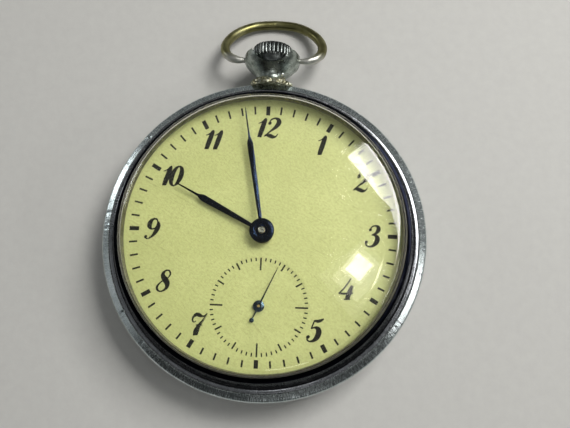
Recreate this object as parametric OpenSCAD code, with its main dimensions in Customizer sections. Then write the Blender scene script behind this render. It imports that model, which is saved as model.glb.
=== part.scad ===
// Open face pocket watch: a snap-together case around a hand-wound lever movement.
// The origin is on the hands' axis, on the flat of the case back. +Z points out of the dial,
// +Y to 12 o'clock and the crown, +X to 3 o'clock.

/* [Case] */
// Outer diameter of the case band
case_d = 44.7; // [44.4:0.1:46]
// Height of the dial's face above the flat of the back
dial_z = 8; // [7.95:0.01:8.05]
// Height of the crystal's highest point
crystal_top_z = 12.4; // [12.2:0.1:13]
// Diameter of the flat that the watch lies on
back_flat_d = 26; // [16:1:30]

/* [Crown and bow] */
// Diameter across the crown's flutes
crown_d = 5.9; // [5.4:0.1:5.9]
// Number of flutes around the crown
crown_flutes = 30; // [24:1:36]
// How far the crown pulls out to set the hands
pull_travel = 0.9; // [0.6:0.05:0.9]
// Outer width of the bow
bow_width = 16.1; // [15.6:0.1:16.4]
// Distance from the bow's pivot to its outer edge
bow_reach = 9.75; // [9.6:0.05:10.2]
// Thickness of the bow's wire
bow_wire_d = 1.4; // [1.2:0.05:1.4]

/* [Dial and hands] */
// Diameter of the dial plate
dial_d = 38.2; // [37.6:0.1:38.2]
// Distance of the small seconds from the centre
seconds_offset = 9.94; // [9.9:0.01:10]
// Length of the minute hand from the centre to its tip
minute_len = 17.6; // [15:0.1:17.7]
// Length of the hour hand from the centre to its tip
hour_len = 13.7; // [10:0.1:14]
// Length of the seconds hand's pointer
seconds_len = 5.7; // [4:0.1:6]
// Minutes shown past twelve
shown_minute = 58.3; // [0:0.1:59.9]
// Hour shown, counted from twelve
shown_hour = 9.93; // [0:0.01:11.99]
// Seconds shown on the small dial
shown_second = 4; // [0:1:59]

/* [Movement] */
// Outer diameter of the movement's plate
movement_d = 36; // [35.8:0.1:36]
// Diameter of the balance wheel's rim
balance_d = 11.2; // [10:0.1:11.2]
// Width of the teeth at their root, as a part of the tooth pitch
tooth_root = 0.5; // [0.44:0.01:0.52]
// Width of the teeth at their tip, as a part of the tooth pitch
tooth_tip = 0.24; // [0.18:0.01:0.28]

/* [Hidden] */
$fn = 96;

// Small distances used throughout
gap = 0.05;
over = 1;

// Heights of the movement's layers, from the back to the dial
plate_back_z = 5.2;
pocket_z = 6.0;
recess_z = 6.6;
plate_dial_z = dial_z - 0.4;
bridge_low_z = 2.5;
bridge_top_z = 3.5;
stem_z = 4.9;
jewel_low_z = 2.55;

// Radii of the hollows and bores that several parts share
bridge_r = 16.9;
barrel_hollow_r = 7.25;
centre_hollow_r = 5.45;
stem_bore_r = 0.75;
lever_bore_r = 0.42;
thread_bore_r = 0.36;

// Case outline
case_r = case_d / 2;
band_low_z = 2.5;
band_rim_z = 7.0;
rim_r = case_r - 1.1;
neck_r = rim_r - 1.25;
neck_top_z = 7.4;
seat_r = movement_d / 2 + 0.1;
back_skirt_r = case_r - 2.05;
crystal_r = case_r - 2.85;
crystal_side_r = case_r - 3.15;
crystal_t = 0.9;

// Gears: module and number of teeth
centre_module = 0.16;
third_module = 0.13;
fourth_module = 0.11;
barrel_module = 0.19;
motion_module = 0.16;
hour_module = 0.1536;
wind_module = 0.3;
barrel_teeth = 72;
centre_leaves = 12;
centre_teeth = 64;
third_leaves = 8;
third_teeth = 60;
fourth_leaves = 8;
fourth_teeth = 70;
escape_leaves = 7;
escape_teeth = 15;
cannon_teeth = 12;
minute_teeth = 36;
minute_leaves = 10;
hour_teeth = 40;
setting_teeth = 18;
wind_teeth = 12;
crown_wheel_teeth = 24;
ratchet_teeth = 28;

// Places of the arbors, worked out from the gears' pitch circles
function pitch(module_size, teeth) = module_size * teeth / 2;
function polar(r, a) = [r * cos(a), r * sin(a)];
function angle_of(v) = atan2(v[1], v[0]);
function meet(p, rp, q, rq, side) =
    let(d = norm(q - p), x = (d * d + rp * rp - rq * rq) / (2 * d), y = sqrt(rp * rp - x * x))
    p + (q - p) / d * x + side * y / d * [-(q - p)[1], (q - p)[0]];
centre_p = [0, 0];
fourth_p = [0, -seconds_offset];
third_p = meet(
    centre_p, pitch(centre_module, centre_teeth + third_leaves),
    fourth_p, pitch(third_module, third_teeth + fourth_leaves), -1
);
escape_p = fourth_p + polar(pitch(fourth_module, fourth_teeth + escape_leaves), 15);
escape_r = 3.0;
pallet_distance = escape_r / cos(30);
fork_len = 3.6;
balance_reach = 11.5;
balance_p = meet(centre_p, balance_reach, escape_p, pallet_distance + fork_len, 1);
line_angle = angle_of(balance_p - escape_p);
pallet_p = escape_p + polar(pallet_distance, line_angle);
crown_wheel_p = [0, 10];
barrel_distance = pitch(barrel_module, barrel_teeth + centre_leaves);
barrel_p = meet(
    centre_p, barrel_distance,
    crown_wheel_p, pitch(wind_module, crown_wheel_teeth + ratchet_teeth), 1
);
click_p = barrel_p + polar(6.1, 150);
minute_p = [0, pitch(motion_module, cannon_teeth + minute_teeth)];
setting_p = minute_p + [0, pitch(motion_module, minute_teeth + setting_teeth)];

// A gear's first tooth is turned so that it meshes with the gear at the given angle
function mesh(angle, phase, teeth, own_teeth) =
    angle + 180 - 180 / own_teeth + (angle - phase) * teeth / own_teeth;
barrel_phase = 0;
centre_leaf_phase = mesh(angle_of(centre_p - barrel_p), barrel_phase, barrel_teeth, centre_leaves);
centre_phase = 0;
third_leaf_phase = mesh(angle_of(third_p), centre_phase, centre_teeth, third_leaves);
third_phase = 0;
fourth_leaf_phase =
    mesh(angle_of(fourth_p - third_p), third_phase, third_teeth, fourth_leaves);
fourth_phase = 0;
escape_leaf_phase =
    mesh(angle_of(escape_p - fourth_p), fourth_phase, fourth_teeth, escape_leaves);
cannon_phase = 0;
minute_phase = mesh(90, cannon_phase, cannon_teeth, minute_teeth);
hour_phase = mesh(-90, 0, minute_leaves, hour_teeth);
setting_phase = mesh(90, minute_phase, minute_teeth, setting_teeth);
crown_wheel_phase = 90 - 180 / crown_wheel_teeth;
ratchet_phase = mesh(
    angle_of(barrel_p - crown_wheel_p), crown_wheel_phase, crown_wheel_teeth, ratchet_teeth
);

// Keyless works: the stem's groove, the levers' pivots and their pins
groove_y = 15.4;
groove_len = 0.8;
slot_low_y = 9.8;
slot_high_y = 14.75;
pinion_low_y = 13.4;
pinion_len = 1.2;
clutch_low_y = 10.7;
clutch_top_y = 12.85;
clutch_groove_y = 11.7;
clutch_travel = 0.75;
setting_arm = 3.2;
setting_turn = asin(pull_travel / setting_arm);
setting_pin_p = [0.72, groove_y];
setting_pivot_p =
    setting_pin_p + [setting_arm * cos(setting_turn / 2), setting_arm * sin(setting_turn / 2)];
yoke_arm = 3.5;
yoke_pin_p = [-1.2, clutch_groove_y];
yoke_pivot_p = yoke_pin_p + [-yoke_arm, -clutch_travel / 2];
spring_post_p = [-5.2, 13.4];

// Pendant, crown and bow
pivot_y = case_r + 4.35;
ear_r = 4.08;
ear_top_y = pivot_y + 0.85;
shank_r = 1.4;
flange_r = 2.6;
cup_r = 3.1;
cup_low_y = pivot_y - 1.75;
scoop_r = 2.9;
scoop_y = pivot_y + 1.25;
pin_r = 0.375;
wire_r = bow_wire_d / 2;
bow_a = bow_width / 2 - wire_r;
bow_side_r = bow_reach - wire_r - bow_a;
bow_c = bow_a - bow_side_r;
bow_rest_angle = asin((stem_z - wire_r - 0.02) / (bow_reach - wire_r));

// Angles of the hands, clockwise from twelve
minute_angle = -6 * shown_minute;
hour_angle = -30 * shown_hour;
second_angle = -6 * shown_second;
hour_hand_z = 8.7;
minute_hand_z = 9.3;
second_hand_z = 8.25;

// Places of the movement's screws
bridge_screw_places = [
    [13.6, 5.6], [-14.6, -0.9], [5.4, 14.6], [-10.3, -11.4], [-2.2, -14.6],
    [15.85, -0.2], [9.3, -12.4]
];
balance_foot_p = bridge_screw_places[5];
pallet_foot_p = bridge_screw_places[6];
cock_angle = angle_of(balance_foot_p - balance_p);
stud_r = 3.42;
case_screw_angles = [28, 205];
case_screw_r = 16.7;
foot_angles = [60, 240];
foot_r = 16.6;

module disc(r, low, high) {
    translate([0, 0, low]) cylinder(r = r, h = high - low);
}

module at(p) {
    translate([p[0], p[1], 0]) children();
}

module slab(low, high) {
    translate([0, 0, low]) linear_extrude(high - low) children();
}

module tube(r_out, r_in, low, high) {
    difference() {
        disc(r_out, low, high);
        disc(r_in, low - over, high + over);
    }
}

// A cylinder along +Y from y = low to y = high, at the stem's height
module along_y(r, low, high) {
    translate([0, low, stem_z]) rotate([-90, 0, 0]) cylinder(r = r, h = high - low);
}

module gear_outline(teeth, module_size, phase, tip_add = 0.75, root_cut = 1.0) {
    r_tip = pitch(module_size, teeth) + tip_add * module_size;
    r_root = pitch(module_size, teeth) - root_cut * module_size;
    step = 360 / teeth;
    sides = [[r_root, -tooth_root], [r_tip, -tooth_tip], [r_tip, tooth_tip], [r_root, tooth_root]];
    polygon([
        for (i = [0:teeth - 1])
            for (s = sides)
                polar(s[0], phase + step * (i + s[1] / 2))
    ]);
}

// A wheel's plate: a toothed rim joined to its hub by straight arms
module wheel_plate(teeth, module_size, phase, low, high, arms, hub_r, rim_t, arm_w) {
    inner = pitch(module_size, teeth) - module_size - rim_t;
    difference() {
        slab(low, high) gear_outline(teeth, module_size, phase);
        difference() {
            disc(inner, low - over, high + over);
            disc(hub_r, low - 2 * over, high + 2 * over);
            for (i = [0:arms - 1])
                rotate([0, 0, phase + i * 360 / arms])
                    translate([0, -arm_w / 2, low - 2 * over])
                        cube([inner + 0.1, arm_w, high - low + 4 * over]);
        }
    }
}

// A slotted screw with its head low (towards the back) at z = head_low
module slotted_screw(head_r, head_low, head_high, thread_r, thread_high, slot_w) {
    difference() {
        disc(head_r, head_low, head_high);
        translate([-head_r - over, -slot_w / 2, head_low - over])
            cube([2 * head_r + 2 * over, slot_w, over + (head_high - head_low) * 0.45]);
    }
    disc(thread_r, head_high, thread_high);
}

// ---- Case ----

module case_band() {
    side_low = [case_r - 0.8, band_low_z];
    profile = concat(
        [[back_skirt_r + gap, band_low_z], side_low],
        [for (i = [1:7]) [case_r - 0.8 + 0.8 * sin(i * 90 / 8), band_low_z + 2.9 * (1 - cos(i * 90 / 8))]],
        [[case_r, 5.5]],
        [for (i = [0:6]) [case_r - 0.55 + 0.55 * cos(i * 12), 6.12 + 0.5 * sin(i * 12)]],
        [
            [rim_r, band_rim_z], [rim_r - 0.05, 6.5], [neck_r, 6.5], [neck_r, neck_top_z],
            [seat_r, neck_top_z], [seat_r, plate_back_z], [seat_r - 0.8, plate_back_z],
            [seat_r - 0.8, 4.4], [back_skirt_r - 0.6, 4.4], [back_skirt_r - 0.6, 3.7],
            [back_skirt_r + gap, 3.7]
        ]
    );
    color([0.68, 0.70, 0.68])
        difference() {
            rotate_extrude($fn = 180) polygon(profile);
            along_y(shank_r, case_r - 1.8, case_r + 3);
            along_y(flange_r, case_r - 0.3, case_r + 3);
            along_y(stem_bore_r, 16, case_r + 3);
        }
}

module pendant() {
    base_y = case_r - 1.8;
    flange_y = case_r - 0.3;
    neck = 2.0;
    profile = concat(
        [
            [0, base_y], [shank_r, base_y], [shank_r, flange_y], [flange_r, flange_y],
            [flange_r, case_r + 0.25], [flange_r - 0.3, case_r + 0.55]
        ],
        [
            for (i = [0:12])
                [neck + (ear_r - neck) * (1 - cos(i * 15)) / 2, case_r + 1.0 + 3.1 * i / 12]
        ],
        [for (i = [0:6]) [ear_r - 0.55 + 0.55 * cos(i * 15), ear_top_y + 0.55 * (sin(i * 15) - 1)]],
        [[0, ear_top_y]]
    );
    bowl = [
        [0, cup_low_y], [1.6, cup_low_y], [2.6, cup_low_y + 0.4], [cup_r, cup_low_y + 0.95],
        [cup_r, pivot_y + 3], [0, pivot_y + 3]
    ];
    color([0.62, 0.62, 0.60])
        difference() {
            translate([0, 0, stem_z]) rotate([-90, 0, 0]) rotate_extrude() polygon(profile);
            translate([0, 0, stem_z]) rotate([-90, 0, 0]) rotate_extrude() polygon(bowl);
            translate([0, scoop_y, stem_z]) cylinder(r = scoop_r, h = 12, center = true);
            along_y(stem_bore_r, base_y - over, pivot_y);
            translate([0, pivot_y, stem_z]) rotate([0, 90, 0])
                cylinder(r = pin_r + gap, h = 12, center = true);
        }
}

module bezel() {
    foot_r = rim_r - 0.08;
    profile = [
        [neck_r + gap, 6.54], [foot_r, 6.54], [foot_r, 7.0], [foot_r - 0.12, 7.14],
        [foot_r - 0.5, 7.26], [foot_r - 0.68, 7.45], [foot_r - 0.95, 8.3],
        [foot_r - 1.25, 9.3], [foot_r - 1.38, 9.6], [foot_r - 1.55, 9.7],
        [crystal_side_r + gap, 9.66], [crystal_side_r + gap, 9.32], [crystal_r + gap, 9.32],
        [crystal_r + gap, 8.78], [dial_d / 2 + 0.1, 8.78], [dial_d / 2 + 0.1, 7.5],
        [neck_r + gap, 7.5]
    ];
    color([0.30, 0.31, 0.32]) rotate_extrude($fn = 180) polygon(profile);
}

module crystal() {
    shoulder = 1.5;
    top_rise = 0.75;
    dome_r = crystal_side_r - shoulder;
    shoulder_z = crystal_top_z - top_rise - shoulder;
    ball = (dome_r * dome_r + top_rise * top_rise) / (2 * top_rise);
    function dome(r, lift) = crystal_top_z - lift - ball + sqrt(ball * ball - r * r);
    outer = concat(
        [[crystal_r, 8.82], [crystal_r, 9.3], [crystal_side_r, 9.3]],
        [for (i = [0:8]) [dome_r + shoulder * cos(i * 10.5), shoulder_z + shoulder * sin(i * 10.5)]],
        [for (i = [1:6]) let(r = dome_r * (1 - i / 6)) [r, dome(r, 0)]]
    );
    inner = concat(
        [for (i = [0:5]) let(r = (dome_r - 0.4) * i / 6) [r, dome(r, crystal_t)]],
        [
            for (i = [8:-1:0])
                [
                    dome_r - 0.3 + (shoulder - 0.6) * cos(i * 10.5),
                    shoulder_z - 0.35 + (shoulder - 0.5) * sin(i * 10.5)
                ]
        ],
        [[dome_r + shoulder - 0.9, 8.82]]
    );
    color([0.95, 0.95, 0.85, 0.35]) rotate_extrude($fn = 180) polygon(concat(outer, inner));
}

module case_back() {
    flat_r = back_flat_d / 2;
    edge_r = case_r - 0.85;
    t = 0.6;
    n = 8;
    span = edge_r - flat_r;
    outer = [for (i = [0:n]) [flat_r + span * sin(i * 80 / n), 2.0 * (1 - cos(i * 90 / n))]];
    inner = [for (i = [n - 1:-1:0]) [flat_r - 0.3 + (span - 1.2) * sin(i * 80 / n), t + 2.1 * (1 - cos(i * 84 / n))]];
    profile = concat(
        [[0, 0]], outer,
        [
            [edge_r, 2.1], [edge_r, band_low_z - 0.04], [back_skirt_r, band_low_z - 0.04],
            [back_skirt_r, 3.5], [back_skirt_r - 0.45, 3.5]
        ],
        inner, [[0, t]]
    );
    color([0.66, 0.67, 0.66])
        union() {
            rotate_extrude($fn = 180) polygon(profile);
            rotate([0, 0, -120]) translate([edge_r - 0.4, -1.5, 1.95]) cube([0.9, 3, 0.4]);
        }
}

// A bent length of wire: centre, bend radius and angles in the bow's own plane
module wire_arc(c, bend_r, from, to) {
    translate([c[0], c[1], 0]) rotate([0, 0, from])
        rotate_extrude(angle = to - from) translate([bend_r, 0]) circle(r = wire_r, $fn = 32);
}

module bow() {
    pin_end = cup_r + gap;
    taper = 0.7;
    color([0.72, 0.62, 0.36])
        translate([0, pivot_y, stem_z]) rotate([-bow_rest_angle, 0, 0])
            union() {
                wire_arc([0, bow_side_r], bow_a, 0, 180);
                for (turn = [0, 180])
                    rotate([0, turn, 0]) {
                        wire_arc([bow_c, bow_side_r], bow_side_r, -90, 0);
                        translate([pin_end, 0, 0]) rotate([0, 90, 0])
                            cylinder(r = pin_r, h = bow_c - taper - pin_end);
                        translate([bow_c - taper, 0, 0]) rotate([0, 90, 0])
                            cylinder(r1 = pin_r, r2 = wire_r, h = taper);
                    }
            }
}

module crown() {
    flute_low = pivot_y + 0.05;
    flute_high = flute_low + 1.7;
    crown_r = crown_d / 2;
    flute_t = 0.26;
    step = 360 / crown_flutes;
    shoulder = [
        [0, cup_low_y + 0.12], [1.55, cup_low_y + 0.12], [2.3, cup_low_y + 0.5],
        [2.6, cup_low_y + 1.15], [crown_r - flute_t, flute_low], [0, flute_low]
    ];
    end_cap = [
        [0, flute_high], [crown_r - 0.22, flute_high], [crown_r - 0.7, flute_high + 0.22],
        [crown_r - 1.5, flute_high + 0.34], [0, flute_high + 0.38]
    ];
    color([0.32, 0.32, 0.31])
        translate([0, 0, stem_z]) rotate([-90, 0, 0])
            difference() {
                union() {
                    rotate_extrude() polygon(shoulder);
                    translate([0, 0, flute_low]) linear_extrude(flute_high - flute_low)
                        polygon([
                            for (i = [0:crown_flutes - 1])
                                for (s = [[-0.30, 0], [-0.12, 1], [0.12, 1], [0.30, 0]])
                                    polar(crown_r - flute_t * (1 - s[1]), step * (i + s[0]))
                        ]);
                    rotate_extrude() polygon(end_cap);
                }
                translate([0, 0, cup_low_y - over]) cylinder(r = 0.6, h = 3.0);
            }
}

module winding_stem() {
    neck_low = groove_y - groove_len / 2;
    neck_high = groove_y + groove_len / 2;
    square_low = 9.3;
    square_high = clutch_top_y - pull_travel;
    square_w = 0.84;
    color("silver")
        union() {
            translate([-square_w / 2, square_low, stem_z - square_w / 2])
                cube([square_w, square_high - square_low, square_w]);
            along_y(0.41, square_high, neck_low);
            along_y(0.33, neck_low, neck_high);
            along_y(0.65, neck_high, cup_low_y + 0.1);
            along_y(0.58, cup_low_y + 0.1, cup_low_y + 1.95);
        }
}

module dial() {
    color([0.84, 0.85, 0.60])
        difference() {
            union() {
                disc(dial_d / 2, plate_dial_z, dial_z);
                for (a = foot_angles)
                    rotate([0, 0, a]) translate([foot_r, 0, 0]) disc(0.35, 6.0, plate_dial_z + 0.1);
            }
            disc(1.5, plate_dial_z - over, dial_z + over);
            at(fourth_p) disc(0.4, plate_dial_z - over, dial_z + over);
            at(fourth_p) tube(6.55, 1.2, dial_z - 0.06, dial_z + over);
        }
}

module dial_foot_screws() {
    color("silver")
        for (a = foot_angles)
            rotate([0, 0, a])
                translate([foot_r + 0.37, 0, 6.35]) rotate([0, 90, 0])
                    cylinder(r = 0.3, h = seat_r - foot_r - 0.55);
}

// A pointer lying along +Y: slender at the hub, widest at its shoulders, with a needle point
module pointer(hub_r, waist_w, shoulder_w, shoulder_y, len, low, high) {
    slab(low, high)
        polygon([
            [-waist_w / 2, 0], [waist_w / 2, 0], [waist_w / 2, hub_r],
            [shoulder_w / 2, shoulder_y], [waist_w / 4, shoulder_y + 1.5 * shoulder_w],
            [0.05, len], [-0.05, len], [-waist_w / 4, shoulder_y + 1.5 * shoulder_w],
            [-shoulder_w / 2, shoulder_y], [-waist_w / 2, hub_r]
        ]);
}

module hour_hand() {
    color([0.04, 0.06, 0.14])
        rotate([0, 0, hour_angle])
            difference() {
                union() {
                    pointer(1.5, 0.45, 0.86, 9.2, hour_len, hour_hand_z, hour_hand_z + 0.2);
                    disc(1.6, hour_hand_z, hour_hand_z + 0.2);
                }
                disc(1.25, hour_hand_z - over, hour_hand_z + over);
            }
}

module minute_hand() {
    color([0.04, 0.06, 0.14])
        rotate([0, 0, minute_angle])
            difference() {
                union() {
                    pointer(1.5, 0.4, 0.76, 12.2, minute_len, minute_hand_z, minute_hand_z + 0.2);
                    disc(1.66, minute_hand_z, minute_hand_z + 0.25);
                }
                disc(0.85, minute_hand_z - over, minute_hand_z + over);
            }
}

module seconds_hand() {
    tail = 2.05;
    color([0.20, 0.26, 0.38])
        at(fourth_p) rotate([0, 0, second_angle])
            difference() {
                union() {
                    slab(second_hand_z, second_hand_z + 0.12)
                        polygon([[-0.13, 0], [0.13, 0], [0.05, seconds_len], [-0.05, seconds_len]]);
                    slab(second_hand_z, second_hand_z + 0.12) translate([-0.08, -tail]) square([0.16, tail]);
                    translate([0, -tail, 0]) disc(0.32, second_hand_z, second_hand_z + 0.12);
                    disc(0.76, second_hand_z, second_hand_z + 0.2);
                }
                disc(0.2, second_hand_z - over, second_hand_z + over);
            }
}

// ---- Plate and bridges ----

// Room for the stem, its two pinions and the pins of the two levers
module stem_slot(low, pin_low, high) {
    slot_w = 4.3;
    pin_slot = [2.2, 2.4];
    yoke_slot = [0.8, 1.6];
    translate([-slot_w / 2, slot_low_y, low]) cube([slot_w, slot_high_y - slot_low_y, high - low]);
    along_y(stem_bore_r, clutch_low_y - 1.6, case_r);
    translate([-0.9, groove_y - 1.1, pin_low]) cube([pin_slot[0], pin_slot[1], high - pin_low]);
    translate([yoke_pin_p[0] - yoke_slot[0] / 2, yoke_pin_p[1] - 1.1, 4])
        cube([yoke_slot[0], yoke_slot[1], 4]);
}

module mainplate() {
    color([0.80, 0.78, 0.68])
        difference() {
            disc(movement_d / 2, plate_back_z, plate_dial_z);
            disc(3.5, recess_z, dial_z);
            at(minute_p) disc(3.2, recess_z, dial_z);
            at(setting_p) disc(1.9, 5.9, dial_z);
            translate([-5.6, 9.2, recess_z]) cube([11.2, 7.2, over]);
            translate([0, 16, recess_z]) cube([4.7, 1.05, over]);
            at(setting_pivot_p) disc(1.15, recess_z, dial_z);
            at(spring_post_p) disc(thread_bore_r, 6.1, dial_z);
            at(barrel_p) disc(barrel_hollow_r, plate_back_z - over, pocket_z);
            disc(centre_hollow_r, plate_back_z - over, pocket_z);
            at(third_p) disc(4.3, plate_back_z - over, pocket_z - 0.3);
            at(third_p) disc(0.95, plate_back_z - over, pocket_z);
            at(fourth_p) disc(1.2, plate_back_z - over, pocket_z - 0.4);
            disc(0.75, plate_back_z - over, dial_z);
            for (p = [third_p, escape_p, pallet_p, balance_p])
                at(p) disc(0.7, plate_back_z - over, recess_z - 0.1);
            at(fourth_p) disc(0.7, plate_back_z - over, dial_z);
            at(barrel_p) disc(1.0, plate_back_z - over, recess_z);
            for (p = bridge_screw_places) at(p) disc(0.35, plate_back_z - over, 6.2);
            for (a = case_screw_angles) rotate([0, 0, a]) translate([case_screw_r, 0, 0])
                disc(0.4, plate_back_z - over, 6.4);
            for (a = foot_angles) rotate([0, 0, a]) {
                translate([foot_r, 0, 0]) disc(0.36, 5.9, dial_z);
                translate([foot_r, 0, 6.35]) rotate([0, 90, 0]) cylinder(r = 0.31, h = 3);
            }
            stem_slot(plate_back_z - over, plate_back_z - over, 7.2);
            at(setting_pivot_p) disc(lever_bore_r, plate_back_z - over, dial_z);
            at(yoke_pivot_p) disc(thread_bore_r, 6.0, dial_z);
            at(minute_p) disc(0.3, 6.0, dial_z);
            at(setting_p) disc(0.3, 5.6, dial_z);
        }
}

module bridge_cuts() {
    for (a = case_screw_angles)
        rotate([0, 0, a]) translate([case_screw_r, 0, 0]) disc(1.45, 0, 6);
    for (p = bridge_screw_places)
        at(p) {
            disc(thread_bore_r, 0, 6);
            disc(0.85, 0, bridge_low_z + 0.45);
        }
}

module barrel_bridge_outline() {
    difference() {
        circle(r = bridge_r);
        translate([-20, -22.2]) square([40, 20]);
        translate(balance_p) circle(r = balance_d / 2 + 0.75);
        translate([6.5, -3]) rotate([0, 0, -62]) square([8, 8]);
        translate(balance_foot_p) circle(r = 2.45);
    }
}

module barrel_bridge() {
    color([0.78, 0.77, 0.74])
        difference() {
            slab(bridge_low_z, plate_back_z) barrel_bridge_outline();
            at(barrel_p) disc(barrel_hollow_r, bridge_top_z, 6);
            disc(centre_hollow_r, bridge_top_z, 6);
            at(third_p) disc(4.4, bridge_top_z, 6);
            at(fourth_p) disc(8.2, bridge_top_z, 6);
            at(balance_p) disc(balance_d / 2 + 0.9, bridge_top_z, 6);
            disc(0.7, 0, 6);
            at(barrel_p) disc(1.15, 0, 6);
            at(barrel_p) disc(4.55, 0, 3.12);
            at(crown_wheel_p) disc(4.0, 0, 3.12);
            at(crown_wheel_p) disc(0.4, 0, 5);
            at(click_p) disc(0.4, 0, 5);
            at(click_p) disc(2.1, 0, 3.12);
            at(click_p) translate([0.45, 3.2, 0]) disc(0.75, 0, 3.12);
            at(click_p) translate([-0.1, 1.2, 0]) cube([1.1, 2, 3.12]);
            stem_slot(2.75, 4, 7);
            bridge_cuts();
        }
}

module train_bridge_outline() {
    difference() {
        circle(r = bridge_r);
        translate([-20, -2.5]) square([40, 20]);
        translate(balance_p) circle(r = balance_d / 2 + 0.75);
        translate(pallet_p) circle(r = 2.3);
        translate(pallet_p) rotate([0, 0, line_angle - 90]) translate([0, -2.3]) square([20, 20]);
        translate(escape_p + [3.1, -20]) square([20, 20]);
    }
}

module train_bridge() {
    color([0.78, 0.77, 0.74])
        difference() {
            slab(bridge_low_z, plate_back_z) train_bridge_outline();
            at(third_p) disc(4.4, bridge_top_z, 6);
            at(fourth_p) disc(4.4, bridge_top_z, 6);
            at(escape_p) disc(3.5, bridge_top_z, 6);
            disc(centre_hollow_r, bridge_top_z, 6);
            at(barrel_p) disc(barrel_hollow_r, bridge_top_z, 6);
            for (p = [third_p, fourth_p, escape_p]) at(p) disc(0.6, 0, 6);
            bridge_cuts();
        }
}

module balance_cock() {
    color([0.78, 0.77, 0.74])
        difference() {
            intersection() {
                slab(bridge_low_z - 0.1, plate_back_z)
                    union() {
                        translate(balance_p) circle(r = 2.1);
                        translate(balance_p) rotate([0, 0, cock_angle])
                            translate([0, -1.7]) square([norm(balance_foot_p - balance_p), 3.4]);
                        translate(balance_foot_p) circle(r = 2.2);
                    }
                disc(bridge_r, 0, 6);
            }
            at(balance_p) disc(balance_d / 2 + 0.75, 3.1, 6);
            at(balance_p) disc(0.6, 0, 6);
            at(balance_p + polar(stud_r, cock_angle)) disc(0.3, 0, 6);
            bridge_cuts();
        }
}

module pallet_cock() {
    arm = pallet_foot_p - pallet_p;
    color([0.78, 0.77, 0.74])
        difference() {
            union() {
                slab(4.05, 4.4)
                    union() {
                        translate(pallet_p) circle(r = 1.0);
                        translate(pallet_p) rotate([0, 0, angle_of(arm)])
                            translate([0, -0.8]) square([norm(arm), 1.6]);
                        translate(pallet_foot_p) circle(r = 1.2);
                    }
                at(pallet_foot_p) disc(1.2, 4.0, plate_back_z);
            }
            at(pallet_p) disc(0.45, 3, 6);
            at(pallet_foot_p) disc(thread_bore_r, 0, 6);
        }
}

module bridge_screws() {
    color([0.15, 0.20, 0.42])
        for (i = [0:len(bridge_screw_places) - 1]) {
            low = bridge_screw_places[i] == pallet_foot_p ? 3.6 : bridge_low_z;
            at(bridge_screw_places[i]) rotate([0, 0, 47 * i])
                slotted_screw(0.8, low, low + 0.4, 0.33, 6.1, 0.25);
        }
}

module case_screws() {
    color("silver")
        for (a = case_screw_angles)
            rotate([0, 0, a]) translate([case_screw_r, 0, 0]) rotate([0, 0, a])
                slotted_screw(1.2, 3.95, 4.36, 0.38, 6.3, 0.3);
}

module plate_jewels() {
    color([0.75, 0.08, 0.22])
        for (p = [third_p, escape_p, pallet_p, balance_p, fourth_p])
            at(p) tube(0.68, 0.2, 6.15, recess_z - 0.12);
}

module bridge_jewels() {
    color([0.75, 0.08, 0.22])
        union() {
            for (p = [third_p, fourth_p, escape_p]) at(p) tube(0.58, 0.2, jewel_low_z, 3.0);
            at(centre_p) tube(0.68, 0.3, jewel_low_z, 3.1);
            at(balance_p) tube(0.58, 0.12, 2.45, 2.95);
            at(pallet_p) tube(0.43, 0.14, 4.08, 4.38);
        }
}

// ---- Power ----

module barrel() {
    color([0.80, 0.66, 0.32])
        at(barrel_p)
            difference() {
                union() {
                    slab(3.75, 4.25) gear_outline(barrel_teeth, barrel_module, barrel_phase);
                    disc(6.5, 3.7, 5.45);
                }
                disc(6.1, 4.0, 6);
                disc(1.05, 3, 6);
            }
}

module barrel_cover() {
    color([0.84, 0.70, 0.36]) at(barrel_p) tube(6.5, 1.05, 5.46, 5.6);
}

module barrel_arbor() {
    color("silver")
        at(barrel_p)
            union() {
                disc(0.95, 3.1, 5.9);
                disc(1.3, 4.1, 5.35);
                disc(0.6, 2.65, 3.1);
                disc(0.7, 5.9, 6.5);
            }
}

// A ribbon wound in a spiral from r_in to r_out
module spiral(r_in, r_out, turns, t, steps) {
    function r_at(i) = r_in + (r_out - r_in) * i / steps;
    function a_at(i) = 360 * turns * i / steps;
    polygon(concat(
        [for (i = [0:steps]) polar(r_at(i) - t / 2, a_at(i))],
        [for (i = [steps:-1:0]) polar(r_at(i) + t / 2, a_at(i))]
    ));
}

module mainspring() {
    color([0.35, 0.38, 0.45]) at(barrel_p) slab(4.1, 5.35) spiral(1.45, 5.95, 9, 0.17, 216);
}

module ratchet_wheel() {
    color([0.72, 0.73, 0.74])
        at(barrel_p)
            difference() {
                slab(2.55, 3.08) gear_outline(ratchet_teeth, wind_module, ratchet_phase, 0.6, 0.85);
                disc(0.62, 2, 4);
                tube(3.1, 1.6, 2, 2.62);
            }
}

module ratchet_wheel_screw() {
    color("silver") at(barrel_p) rotate([0, 0, 30])
        difference() {
            disc(1.35, 2.2, 2.53);
            translate([-2, -0.15, 2]) cube([4, 0.3, 0.35]);
        }
}

module crown_wheel() {
    color([0.72, 0.73, 0.74])
        at(crown_wheel_p)
            difference() {
                slab(2.55, 3.08)
                    gear_outline(crown_wheel_teeth, wind_module, crown_wheel_phase, 0.6, 0.85);
                disc(1.1, 2, 4);
                tube(2.5, 1.7, 2, 2.62);
            }
}

module crown_wheel_screw() {
    color("silver") at(crown_wheel_p) rotate([0, 0, 75])
        union() {
            slotted_screw(1.6, 2.2, 2.52, 1.04, 3.1, 0.3);
            disc(0.38, 3.1, 3.45);
        }
}

module click() {
    beak = polar(1.75, -48);
    color("silver")
        at(click_p)
            difference() {
                slab(2.6, 3.0)
                    union() {
                        circle(r = 0.95);
                        polygon([
                            [-0.9, 0.2], [-0.2, -0.95], beak, beak + [0.15, 0.35], [0.95, 0.1]
                        ]);
                        translate([-0.25, 0.4]) square([0.5, 1.1]);
                    }
                disc(0.42, 2, 4);
            }
}

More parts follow.
